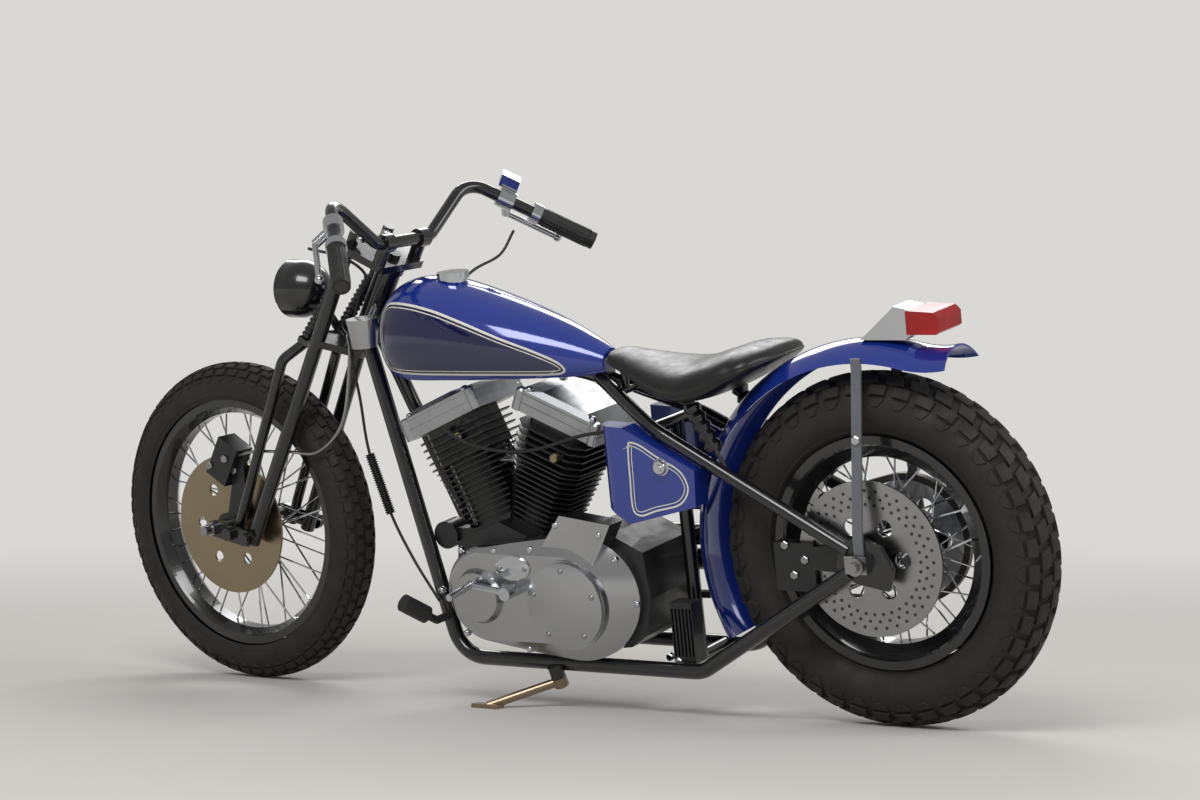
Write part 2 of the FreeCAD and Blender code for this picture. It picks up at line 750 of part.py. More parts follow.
define({
    "fenderRadius": 398,  # crown of the rear fender from the axle
    "fenderEdgeRadius": 362,  # edge of the fender from the axle
    "fenderHalfWidth": 72,  # rear fender
    "fenderThickness": 4,  # rear fender
    "fenderStart": -28,  # front end of the fender below the axle's level
    "fenderSweep": 131,  # fender round the wheel
    "flareRadius": 200,  # upturned tail of the fender
    "flareSweep": 23,  # upturned tail of the fender
    "fenderStayWidth": 20,  # flat stay
    "fenderStayThickness": 5,  # flat stay
    "fenderStayTop": 372,  # top of the flat stay above the axle
    "fenderStayKnee": 350,  # upper bend of the flat stay above the axle
    "fenderStayFoot": 15,  # foot of the flat stay above the axle
    "fenderStayAnkle": 55,  # lower bend of the flat stay above the axle
    "lampMountLength": 105,  # chrome mount of the tail lamp
    "lampMountFront": 12,  # front tip of the mount, ahead of the axle
    "lampMountHeight": 62,  # chrome mount of the tail lamp
    "lampMountHalf": 32,  # chrome mount of the tail lamp
    "lensLength": 66,  # red lens
    "lensHeight": 44,  # red lens
    "lensHalf": 46,  # red lens
    "caliperLength": 84,  # rear caliper
    "caliperHeight": 92,  # rear caliper
    "caliperX": 152,  # middle of the rear caliper
    "caliperZ": 322,  # middle of the rear caliper
    "caliperInner": 66,  # inner face of the rear caliper
    "caliperOuter": 97,  # outer face of the rear caliper
    "caliperGap": 5,  # between caliper and disc
    "bracketThickness": 6,  # bracket of the rear caliper
    "caliperArmRise": 30,  # its arm above the middle pivot of the rocker
    "boxInner": 75,  # inner face of a side box
    "boxOuter": 122,  # outer face of a side box
    "boxFrontX": 545,  # front of a side box
    "boxTopX": 488,  # top corner of a side box
    "boxRearX": 336,  # rear of a side box
    "boxBottomZ": 398,  # lowest corner of a side box
    "boxStayGap": 2,  # side box under the upper stay
})


def fender_section(direction, centre, top, edge):
    # The fender's cross-section in the plane of Y and a direction out from a centre
    half = float(dim.fenderHalfWidth)
    wall = float(dim.fenderThickness) if top > edge else -float(dim.fenderThickness)

    def at(side, radius):
        return centre + direction * radius + vec(0, side, 0)

    thin = abs(wall)
    outer = Part.Arc(at(-half, edge), at(0, top), at(half, edge)).toShape()
    inner = Part.Arc(at(half - thin, edge), at(0, top - wall), at(-half + thin, edge)).toShape()
    right = Part.LineSegment(at(half, edge), at(half - thin, edge)).toShape()
    left = Part.LineSegment(at(-half + thin, edge), at(-half, edge)).toShape()
    return Part.Face(Part.Wire([outer, right, inner, left]))


def fender_shape():
    start = math.radians(dim.fenderStart)
    end = start + math.radians(dim.fenderSweep)
    towards = vec(math.cos(start), 0, math.sin(start))
    section = fender_section(towards, rear_centre, float(dim.fenderRadius), float(dim.fenderEdgeRadius))
    round_part = section.revolve(rear_centre, vec(0, -1, 0), float(dim.fenderSweep))
    out = vec(math.cos(end), 0, math.sin(end))
    above = rear_centre + out * float(dim.fenderRadius + dim.flareRadius)
    depth = float(dim.fenderRadius - dim.fenderEdgeRadius)
    tail_section = fender_section(-out, above, float(dim.flareRadius), float(dim.flareRadius) + depth)
    tail = tail_section.revolve(above, vec(0, 1, 0), float(dim.flareSweep))
    return round_part.fuse(tail)


def make_rear_fender():
    fender = fender_shape()
    feature("rear_fender", fender, "frame")
    near = float(dim.fenderHalfWidth + dim.fitClearance)
    far = float(dim.plateSide + dim.plateThickness + dim.fitClearance)
    thick = float(dim.fenderStayThickness)
    profile = [
        (near, dim.fenderStayTop), (near + thick, dim.fenderStayTop), (near + thick, dim.fenderStayKnee),
        (far + thick, dim.fenderStayAnkle), (far + thick, dim.fenderStayFoot),
        (far, dim.fenderStayFoot), (far, dim.fenderStayAnkle), (near, dim.fenderStayKnee),
    ]
    half = float(dim.fenderStayWidth) / 2
    points = [vec(-half, side, rear_z + float(up)) for side, up in profile]
    strip = Part.Face(Part.makePolygon(points + [points[0]])).extrude(vec(2 * half, 0, 0))
    block = float(dim.adjusterSize)
    clear = Part.makeBox(block * 1.4, 2 * thick + block, block + 2 * float(dim.fitClearance),
                         vec(-block * 0.7, float(dim.plateSide), rear_z - block / 2 - float(dim.fitClearance)))
    strip = strip.cut(clear)
    feature("fender_stays", both_sides(strip), "frame")


def make_tail_lamp():
    seat = rear_z + float(dim.fenderRadius + dim.fitClearance)
    front = float(dim.lampMountFront)
    long = float(dim.lampMountLength)
    tall = float(dim.lampMountHeight)
    wedge_shares = [(0.0, 0.0), (0.12, 0.14), (0.72, 1.0), (1.0, 0.9), (1.0, 0.12), (0.9, 0.0)]
    corners = [(front - share[0] * long, seat + share[1] * tall) for share in wedge_shares]
    wedge = plate(corners, -float(dim.lampMountHalf), 2 * float(dim.lampMountHalf))
    feature("tail_lamp", wedge, "frame")
    lens_front = front - long - float(dim.fitClearance)
    lens_shares = [(0.0, 0.0), (0.0, 1.0), (0.85, 0.92), (1.0, 0.7), (1.0, 0.1), (0.9, 0.0)]
    corners = [(lens_front - share[0] * float(dim.lensLength), seat + tall * 0.2 + share[1] * float(dim.lensHeight))
               for share in lens_shares]
    feature("tail_lens", plate(corners, -float(dim.lensHalf), 2 * float(dim.lensHalf)), "frame")


def make_rear_caliper():
    low = float(dim.caliperZ - dim.caliperHeight / 2)
    front = float(dim.caliperX - dim.caliperLength / 2)
    thick = float(dim.caliperOuter - dim.caliperInner)
    block = Part.makeBox(float(dim.caliperLength), thick, float(dim.caliperHeight), vec(front, dim.caliperInner, low))
    disc_near = float(dim.rearHubHalf - dim.caliperGap)
    room = Part.makeCylinder(float(dim.rearDiscRadius + dim.caliperGap * 2), float(dim.rearDiscThickness + dim.caliperGap * 2),
                             vec(0, disc_near, rear_z), vec(0, 1, 0))
    web = float(dim.bracketThickness)
    near = float(dim.caliperOuter) - web
    collar = float(dim.axleNutRadius) * 1.7
    arm_shares = [(0.0, -1.0), (1.0, -0.75), (1.0, 0.75), (0.0, 1.0)]
    corners = [(share[0] * (front + web), rear_z + share[1] * collar) for share in arm_shares]
    arm = plate(corners, near, web)
    ring = Part.makeCylinder(collar, web, vec(0, near, rear_z), vec(0, 1, 0))
    hole = Part.makeCylinder(float(dim.axleNutRadius + dim.fitClearance), web * 3, vec(0, near - web, rear_z), vec(0, 1, 0))
    feature("rear_caliper", block.fuse([arm, ring]).cut([room, hole]), "frame")


def side_box_shape():
    drop = float(dim.stayRadius + dim.boxStayGap) * 1.15
    slope = (float(dim.stayKneeZ) - rear_z - float(dim.stayEndRise)) / (float(dim.stayKneeX) - float(dim.plateLength) / 4)

    def under_stay(forward):
        return float(dim.stayKneeZ) + slope * (forward - float(dim.stayKneeX)) - drop

    rear = float(dim.boxRearX)
    top = float(dim.boxTopX)
    front = float(dim.boxFrontX)
    low = float(dim.boxBottomZ)
    tall = under_stay(top) - low
    corners = [
        (top, under_stay(top)), (rear, under_stay(rear)), (rear + 0.02 * tall, low + 0.2 * tall),
        (top, low), (front, low + 0.18 * tall), (front, under_stay(top) + 0.02 * tall),
    ]
    solid = plate(corners, float(dim.boxInner), float(dim.boxOuter - dim.boxInner))
    rounded = [edge for edge in solid.Edges
               if edge.BoundBox.YLength < 1 and edge.BoundBox.XMin > front - 1 and edge.CenterOfMass.y > float(dim.boxOuter) - 1]
    return solid.makeFillet(float(dim.boxOuter - dim.boxInner) * 0.7, rounded)


def make_side_boxes():
    feature("side_boxes", both_sides(side_box_shape()), "frame")


define({
    "tankRearX": 575,  # rear end of the tank
    "tankLength": 486,  # fuel tank
    "tankBottom": 667,  # flat underside of the tank
    "tankHeight": 190,  # fuel tank at its tallest
    "tankHalfWidth": 124,  # fuel tank at its widest
    "tunnelClearance": 4,  # tank over the backbone
    "capRadius": 32,  # fuel cap
    "capHeight": 14,  # fuel cap
    "capNeckRadius": 26,  # filler neck
    "seatRearX": 186,  # rear end of the seat
    "seatLength": 384,  # seat
    "seatBottom": 626,  # lowest edge of the seat
    "seatHeight": 104,  # seat from its lowest edge to its rear lip
    "seatHalfWidth": 136,  # seat at its widest
    "seatSpringRadius": 18,  # seat spring over its coils
    "seatSpringX": 352,  # top of a seat spring
    "seatSpringFootX": 304,  # foot of a seat spring
    "seatSpringSide": 90,  # seat springs from the centre line
    "seatSpringTop": 628,  # top of a seat spring
    "seatSpringLow": 540,  # foot of a seat spring's coils
    "seatSpringGrooves": 5,  # coils that show
    "seatRodRadius": 4,  # rod under a seat spring
    "seatPivotRadius": 8,  # pivot at the front of the seat
    "seatPivotX": 548,  # pivot at the front of the seat
    "seatPivotHalf": 34,  # pin of the seat pivot, from the centre line
})

# Each station: share of the length from the rear, of the half width, of the bottom and of the top height
tank_shares = [
    (0.00, 0.26, 0.03, 0.25), (0.13, 0.48, 0.00, 0.445), (0.34, 0.74, 0.00, 0.675), (0.57, 0.93, 0.00, 0.875),
    (0.77, 1.00, 0.00, 1.00), (0.92, 0.93, 0.03, 0.985), (1.00, 0.72, 0.13, 0.87),
]
seat_shares = [
    (0.00, 0.42, 0.73, 0.86), (0.05, 0.74, 0.62, 0.94), (0.16, 0.93, 0.38, 0.98), (0.32, 1.00, 0.10, 0.84), (0.48, 0.95, 0.02, 0.69),
    (0.66, 0.76, 0.16, 0.70), (0.84, 0.50, 0.44, 0.80), (0.96, 0.34, 0.62, 0.86), (1.00, 0.22, 0.68, 0.84),
]


def bulged_wire(forward, half, low, high, foot_share, side_share, brow_share):
    # Closed section in a plane of constant X: flat foot, swelling sides and a crowned top
    tall = high - low
    foot = vec(forward, half * foot_share, low)
    side = vec(forward, half, low + tall * side_share)
    brow = vec(forward, half * 0.74, low + tall * brow_share)
    crown = vec(forward, 0, high)

    def flip(point):
        return vec(point.x, -point.y, point.z)

    edges = [
        Part.LineSegment(flip(foot), foot).toShape(),
        Part.Arc(foot, side, brow).toShape(),
        Part.Arc(brow, crown, flip(brow)).toShape(),
        Part.Arc(flip(brow), flip(side), flip(foot)).toShape(),
    ]
    return Part.Wire(edges)


def lofted(shares, rear_x, length, half_width, bottom, height, foot_share, side_share, brow_share):
    wires = []
    for along, wide, low, high in shares:
        wires.append(bulged_wire(float(rear_x) + along * float(length), wide * float(half_width),
                                 float(bottom) + low * float(height), float(bottom) + high * float(height),
                                 foot_share, side_share, brow_share))
    return Part.makeLoft(wires, True, False)


def tank_shape():
    return lofted(tank_shares, dim.tankRearX, dim.tankLength, dim.tankHalfWidth, dim.tankBottom, dim.tankHeight, 0.80, 0.36, 0.80)


def make_tank():
    blank = tank_shape()
    joint = vec(dim.seatJointX, 0, dim.seatJointZ)
    start = fork(dim.backboneDrop, 0, 0)
    along = (start - joint).normalize()
    radius = float(dim.backboneRadius + dim.tunnelClearance)
    run = (start - joint).Length
    rear = joint - along * (4 * radius)
    length = run + 8 * radius
    tunnel = Part.makeCylinder(radius, length, rear, along)
    down = vec(0, 0, -float(dim.tankHeight))
    slot_corners = [rear + vec(0, radius, 0), rear + along * length + vec(0, radius, 0),
                    rear + along * length + vec(0, -radius, 0), rear + vec(0, -radius, 0)]
    slot = Part.Face(Part.makePolygon(slot_corners + [slot_corners[0]])).extrude(down)
    tank = blank.cut([tunnel, slot])
    feature("fuel_tank", tank, "frame")
    cap_share = 0.727
    cap_x = float(dim.tankRearX) + cap_share * float(dim.tankLength)
    column = Part.makeLine(vec(cap_x, 0, dim.tankBottom), vec(cap_x, 0, dim.tankBottom + dim.tankHeight * 2))
    top = blank.common(column).BoundBox.ZMax
    neck = Part.makeCylinder(float(dim.capNeckRadius), float(dim.tankHeight), vec(cap_x, 0, top - float(dim.tankHeight)), vec(0, 0, 1))
    neck = neck.cut(Part.makeBox(4 * radius, 4 * radius, float(dim.tankHeight), vec(cap_x - 2 * radius, -2 * radius, top - float(dim.tankHeight) - float(dim.capHeight))))
    lid = Part.makeCylinder(float(dim.capRadius), float(dim.capHeight), vec(cap_x, 0, top), vec(0, 0, 1))
    feature("fuel_cap", neck.fuse(lid).cut(blank), "frame")


def ribbed_rod(start, end, radius, core_share, grooves):
    # A coil spring as one turned bar: a ridge for each coil
    length = (end - start).Length
    pitch = length / grooves
    points = [vec(0, 0, 0)]
    for index in range(grooves):
        points.append(vec(radius * core_share, 0, index * pitch))
        points.append(vec(radius, 0, (index + 0.5) * pitch))
    points.append(vec(radius * core_share, 0, length))
    points.append(vec(0, 0, length))
    solid = Part.Face(Part.makePolygon(points + [points[0]])).revolve(vec(0, 0, 0), vec(0, 0, 1), 360)
    solid.Placement = FreeCAD.Placement(start, turn(end - start))
    return solid


def seat_shape():
    return lofted(seat_shares, dim.seatRearX, dim.seatLength, dim.seatHalfWidth, dim.seatBottom, dim.seatHeight, 0.97, 0.30, 0.86)


def seat_pivot_shape():
    # Pin across the stays with an upright that carries the nose of the seat
    slope = float(dim.seatJointZ - dim.stayKneeZ) / float(dim.seatJointX - dim.stayKneeX)
    height = float(dim.seatJointZ) - slope * float(dim.seatJointX - dim.seatPivotX)
    half = float(dim.seatPivotHalf)
    pin = bar(vec(dim.seatPivotX, -half, height), vec(dim.seatPivotX, half, height), dim.seatPivotRadius)
    upright = bar(vec(dim.seatPivotX, 0, height), vec(dim.seatPivotX, 0, dim.seatBottom + dim.seatHeight), dim.seatPivotRadius)
    spine = bar(fork(dim.backboneDrop, 0, 0), vec(dim.seatJointX - dim.backboneRadius, 0, dim.seatJointZ), dim.backboneRadius)
    whole = pin.fuse(upright).cut([lifted(seat_shape(), -float(dim.fitClearance)), spine])
    return max(whole.Solids, key=lambda part: part.Volume)


def lifted(shape, height):
    copy = shape.copy()
    copy.translate(vec(0, 0, height))
    return copy


def make_seat():
    seat = seat_shape()
    feature("seat", seat, "frame")
    springs = []
    top = vec(dim.seatSpringX, dim.seatSpringSide, dim.seatSpringTop)
    low = vec(dim.seatSpringFootX, dim.seatSpringSide, dim.seatSpringLow)
    coil = ribbed_rod(low, top, float(dim.seatSpringRadius), 0.7, round(dim.seatSpringGrooves.value))
    rod_end = low - (top - low) * 0.45
    rod = bar(low, rod_end, dim.seatRodRadius)
    post = bar(top, top + (top - low) * 0.3, dim.seatRodRadius * 2)
    spring = coil.fuse([rod, post]).cut([lifted(seat, -float(dim.fitClearance)), stay_shape(1)])
    spring = max(spring.Solids, key=lambda part: part.Volume)
    feature("seat_springs", both_sides(spring), "frame")


define({
    "crankX": 815,  # crankshaft, forward of the rear axle
    "crankZ": 256,  # crankshaft, above the floor line
    "cylinderTilt": 22.5,  # each cylinder from the vertical
    "caseLength": 446,  # crankcase with the gearbox
    "caseRearX": 478,  # rear of the gearbox
    "caseBottom": 136,  # underside of the crankcase
    "caseRight": 80,  # right side of the crankcase
    "caseLeft": 94,  # left side of the crankcase
    "deckReach": 118,  # cylinder seat from the crankshaft
    "deckHalf": 62,  # half the width of a cylinder seat
    "headReach": 262,  # joint of cylinder and head from the crankshaft
    "coverReach": 340,  # joint of head and rocker cover from the crankshaft
    "coverTop": 394,  # top of a rocker cover from the crankshaft
    "barrelRadius": 58,  # cylinder under its fins
    "baseHalf": 60,  # square base of a cylinder
    "baseHeight": 10,  # base of a cylinder
    "finCount": 11,  # fins of a cylinder
    "finThickness": 3,  # one fin
    "lowFinHalf": 62,  # half the width of the lowest fin
    "topFinHalf": 76,  # half the width of the highest fin
    "finCorner": 24,  # cut corner of a fin
    "headFinCount": 5,  # fins of a head
    "headFinHalf": 80,  # half the width of a head's fin
    "headCoreHalf": 60,  # half the width of a head inside its fins
    "coverHalfLength": 100,  # rocker cover along the bike
    "coverLeft": 64,  # rocker cover left of the centre line
    "coverRight": 98,  # rocker cover right of the centre line
    "coverChamfer": 18,  # slope at the ends of a rocker cover
    "coverBevel": 10,  # bevel along the top of a rocker cover
    "coverSeam": 2,  # open joint between the layers of a rocker cover
    "pillarRadius": 11,  # bolt pillars at the corners of a rocker cover
    "valleyGap": 4,  # between the two cylinders' fins
    "primaryFrontX": 822,  # front round of the primary cover
    "primaryFrontZ": 250,  # front round of the primary cover
    "primaryFrontRadius": 97,  # front round of the primary cover
    "primaryRearX": 620,  # rear round of the primary cover
    "primaryRearZ": 247,  # rear round of the primary cover
    "primaryRearRadius": 124,  # rear round of the primary cover
    "primaryBall": 220,  # its rear falls away as part of a ball of this radius
    "primaryBallX": 650,  # middle of that ball, and the end of the straight crown ahead of it
    "primaryCrown": 18,  # the ball's top past the outer face
    "clutchX": 606,  # clutch, forward of the rear axle
    "clutchZ": 258,  # clutch, above the floor line
    "primaryOuter": 150,  # outer face of the primary cover
    "primaryRound": 14,  # rounded edge of the primary cover
    "camRound": 8,  # rounded edge of the cam cover
    "bossX": 839,  # round boss of the primary cover
    "bossZ": 248,  # round boss of the primary cover
    "bossRadius": 56,  # round boss of the primary cover
    "bossHeight": 14,  # round boss of the primary cover
    "derbyX": 632,  # clutch cover, forward of the rear axle
    "derbyZ": 240,  # clutch cover, above the floor line
    "derbyRadius": 85,  # clutch cover
    "derbyHeight": 18,  # clutch cover
    "derbySeatRadius": 88,  # raised seat of the clutch cover
    "derbySeatHeight": 6,  # raised seat of the clutch cover
    "chimneyFrontX": 638,  # raised rear top of the primary cover
    "chimneyRearX": 524,  # raised rear top of the primary cover
    "chimneyFootFrontX": 688,  # foot of the raised top
    "chimneyFootRearX": 552,  # foot of the raised top
    "chimneyTop": 414,  # raised rear top of the primary cover
    "chimneyDrop": 15,  # fall of the raised top to the rear
    "chimneyFootZ": 348,  # foot of the raised top
    "chimneyOuter": 142,  # outer face of the raised top
    "camOuter": 128,  # outer face of the cam cover
    "camRadius": 74,  # cam cover
    "pulleyRadius": 66,  # round cover of the gearbox sprocket
    "pushrodRadius": 9,  # pushrod tube
    "pushrodSide": 89,  # pushrod tubes right of the centre line
    "pushrodSpread": 17,  # pushrod tubes from their cylinder's axis
    "carbRadius": 26,  # carburettor
    "carbInner": 90,  # inner end of the carburettor
    "carbOuter": 140,  # outer end of the carburettor
    "carbRise": 236,  # carburettor above the crankshaft
    "cleanerRadius": 72,  # round air cleaner
    "cleanerThickness": 40,  # round air cleaner
    "filterRadius": 28,  # oil filter
    "filterX": 967,  # middle of the oil filter
    "filterZ": 345,  # middle of the oil filter
    "filterInner": 22,  # inner end of the oil filter
    "filterOuter": 66,  # outer end of the oil filter
})

crank = vec(dim.crankX, 0, dim.crankZ)


def along_cylinder(sign, reach, across, side):
    # A point by its distance from the crankshaft up a cylinder, across it and to the left
    tilt = math.radians(dim.cylinderTilt) * sign
    up = vec(math.sin(tilt), 0, math.cos(tilt))
    ahead = vec(math.cos(tilt), 0, -math.sin(tilt))
    return crank + up * float(reach) + ahead * (float(across) * sign) + vec(0, side, 0)


def case_outline():
    # Round belly below, two cylinder seats above and the gearbox behind
    seats = [along_cylinder(-1, dim.deckReach, dim.deckHalf, 0), along_cylinder(1, dim.deckReach, dim.deckHalf, 0)]
    valley_up = float(dim.deckReach) / math.cos(math.radians(dim.cylinderTilt))
    valley = crank + vec(0, 0, valley_up)
    rear = float(dim.caseRearX)
    long = float(dim.caseLength)
    tall = float(dim.crankZ - dim.caseBottom)
    low = float(dim.caseBottom)
    behind_shares = [(0.34, 1.97), (0.18, 1.94), (0.02, 1.66), (0.0, 0.9), (0.04, 0.28), (0.12, 0.08)]
    below_shares = [(0.3, 0.0), (0.66, 0.0), (0.86, 0.2), (0.97, 0.66), (1.0, 1.3)]
    corners = [(valley.x, valley.z), (seats[0].x, seats[0].z)]
    corners += [(rear + share[0] * long, low + share[1] * tall) for share in behind_shares]
    corners += [(rear + share[0] * long, low + share[1] * tall) for share in below_shares]
    corners.append((seats[1].x, seats[1].z))
    return corners


def make_crankcase():
    body = plate(case_outline(), -float(dim.caseRight), float(dim.caseRight + dim.caseLeft))
    feature("crankcase", body, "frame")


def eight_sided(half_across, half_side, corner, reach, thickness, sign, shift=0):
    # Flat plate square to a cylinder with its corners cut
    a, b, c = float(half_across), float(half_side), float(corner)
    outline = [(a, -b + c), (a, b - c), (a - c, b), (-a + c, b), (-a, b - c), (-a, -b + c), (-a + c, -b), (a - c, -b)]
    points = [along_cylinder(sign, reach, across, side + float(shift)) for across, side in outline]
    up = along_cylinder(sign, 1, 0, 0) - along_cylinder(sign, 0, 0, 0)
    return Part.Face(Part.makePolygon(points + [points[0]])).extrude(up * float(thickness))


def valley_keep(sign):
    # Half of space on one cylinder's side of the valley
    wide = float(dim.caseLength)
    tall = float(dim.coverTop) * 2
    start = float(dim.crankX) + (float(dim.valleyGap) / 2 if sign > 0 else -float(dim.valleyGap) / 2 - wide)
    return Part.makeBox(wide, 2 * wide, tall, vec(start, -wide, dim.crankZ))


def cylinder_shape(sign):
    up = along_cylinder(sign, 1, 0, 0) - along_cylinder(sign, 0, 0, 0)
    start = float(dim.deckReach)
    stop = float(dim.headReach)
    pieces_here = [eight_sided(dim.baseHalf, dim.baseHalf, dim.finCorner, start, dim.baseHeight, sign)]
    pieces_here.append(Part.makeCylinder(float(dim.barrelRadius), stop - start, along_cylinder(sign, start, 0, 0), up))
    count = round(dim.finCount.value)
    first = start + float(dim.baseHeight)
    pitch = (stop - first) / (count + 0.5)
    for index in range(count):
        share = index / (count - 1)
        half = float(dim.lowFinHalf) * (1 - share) + float(dim.topFinHalf) * share
        pieces_here.append(eight_sided(half, half, dim.finCorner, first + (index + 0.75) * pitch, dim.finThickness, sign))
    return pieces_here[0].fuse(pieces_here[1:]).common(valley_keep(sign))


def head_shape(sign):
    start = float(dim.headReach) + float(dim.fitClearance)
    stop = float(dim.coverReach)
    shapes = [eight_sided(dim.headCoreHalf, dim.headCoreHalf, dim.finCorner / 2, start, stop - start, sign)]
    count = round(dim.headFinCount.value)
    pitch = (stop - start) / (count + 0.4)
    for index in range(count):
        reach = start + (index + 0.1) * pitch
        shapes.append(eight_sided(dim.headFinHalf, dim.headFinHalf, dim.finCorner, reach, dim.finThickness, sign))
    return shapes[0].fuse(shapes[1:]).common(valley_keep(sign))


# Rocker cover: its joints as shares of its height, and how far up its corner pillars stand
cover_joint_shares = (0.34, 0.67)
pillar_height_share = 0.78
pillar_inset_share = 0.6


def cover_block(sign, outline, inset):
    # An outline of (across, reach) carried over the cover's width
    points = [along_cylinder(sign, reach, across, -dim.coverRight + inset) for across, reach in outline]
    return Part.Face(Part.makePolygon(points + [points[0]])).extrude(vec(0, float(dim.coverLeft + dim.coverRight - inset * 2), 0))


def cover_shape(sign):
    # Three layers with open joints between them, bevelled at the top, and a pillar at each corner
    low = float(dim.coverReach) + float(dim.fitClearance)
    high = float(dim.coverTop)
    half = float(dim.coverHalfLength)
    slope = float(dim.coverChamfer)
    bevel = float(dim.coverBevel)
    seam = float(dim.coverSeam)
    outline = [(-half, low), (half, low), (half, high - slope * 1.6), (half - slope * 2, high), (-half + slope * 3, high), (-half, high - slope)]
    solid = cover_block(sign, outline, 0)
    left = float(dim.coverLeft)
    right = -float(dim.coverRight)
    section = [(left, low), (left, high - bevel), (left - bevel, high), (right + bevel, high), (right, high - bevel), (right, low)]
    points = [along_cylinder(sign, reach, -half, side) for side, reach in section]
    length = along_cylinder(sign, low, half, 0) - along_cylinder(sign, low, -half, 0)
    solid = solid.common(Part.Face(Part.makePolygon(points + [points[0]])).extrude(length))
    core = cover_block(sign, [(-half + seam, low), (half - seam, low), (half - seam, high), (-half + seam, high)], dim.coverSeam)
    for share in cover_joint_shares:
        reach = low + (high - low) * share
        ring = cover_block(sign, [(-half, reach), (half, reach), (half, reach + seam), (-half, reach + seam)], 0)
        solid = solid.cut(ring.cut(core))
    radius = float(dim.pillarRadius)
    pillars = []
    for across in (-half + radius, half - radius):
        for side in (left - radius * pillar_inset_share, right + radius * pillar_inset_share):
            foot = along_cylinder(sign, low, across, side)
            top = along_cylinder(sign, low + (high - low) * pillar_height_share, across, side)
            pillars.append(bar(foot, top, radius))
            pillars.append(Part.makeCone(radius, radius * 0.6, radius * 0.4, top, top - foot))
    return solid.fuse(pillars).common(valley_keep(sign))


def make_top_end():
    feature("cylinders", Part.makeCompound([cylinder_shape(1), cylinder_shape(-1)]), "frame")
    feature("cylinder_heads", Part.makeCompound([head_shape(1), head_shape(-1)]), "frame")
    feature("rocker_covers", Part.makeCompound([cover_shape(1), cover_shape(-1)]), "frame")


def belt_outline(front, front_radius, rear, rear_radius, side):
    # Two circles in a plane of constant Y with their outer tangents
    gap = front - rear
    distance = gap.Length
    base = math.atan2(gap.z, gap.x)
    open_angle = math.acos((rear_radius - front_radius) / distance)

    def at(centre, radius, angle):
        return vec(centre.x + radius * math.cos(angle), side, centre.z + radius * math.sin(angle))

    upper = base + open_angle
    lower = base - open_angle
    front_arc = Part.Arc(at(front, front_radius, lower), at(front, front_radius, base), at(front, front_radius, upper))
    rear_arc = Part.Arc(at(rear, rear_radius, upper), at(rear, rear_radius, base + math.pi), at(rear, rear_radius, lower))
    top = Part.LineSegment(at(front, front_radius, upper), at(rear, rear_radius, upper))
    bottom = Part.LineSegment(at(rear, rear_radius, lower), at(front, front_radius, lower))
    return Part.Wire([front_arc.toShape(), top.toShape(), rear_arc.toShape(), bottom.toShape()])


def domed_disc(radius, thickness, rise, base, direction):
    # A round cover whose outer face is part of a ball
    ball_radius = (radius ** 2 + rise ** 2) / (2 * rise)
    disc_shape = Part.makeCylinder(radius, thickness * 1.5, base, direction)
    ball = Part.makeSphere(ball_radius, base + direction * (thickness - ball_radius))
    return disc_shape.common(ball)


def soften(shape, side, radius):
    # Rounds the edges that lie in one upright lengthwise plane
    edges = [edge for edge in shape.Edges if all(abs(vertex.Y - side) < float(dim.fitClearance) / 10 for vertex in edge.Vertexes)]
    return shape.makeFillet(float(radius), edges)


def crown_shape(side):
    # A ball with a straight crown of the same radius ahead of it, about a lengthwise axis
    ball = float(dim.primaryBall)
    middle = vec(dim.primaryBallX, side - ball, dim.primaryRearZ)
    long = float(dim.primaryFrontX + dim.primaryFrontRadius * 2 - dim.primaryBallX)
    rear = middle + vec(-ball, 0, 0)
    slant = math.sqrt(0.5)
    edges = [
        Part.Arc(rear, middle + vec(-ball * slant, 0, ball * slant), middle + vec(0, 0, ball)).toShape(),
        Part.LineSegment(middle + vec(0, 0, ball), middle + vec(long, 0, ball)).toShape(),
        Part.LineSegment(middle + vec(long, 0, ball), middle + vec(long, 0, 0)).toShape(),
        Part.LineSegment(middle + vec(long, 0, 0), rear).toShape(),
    ]
    return Part.Face(Part.Wire(edges)).revolve(middle, vec(1, 0, 0), 360)


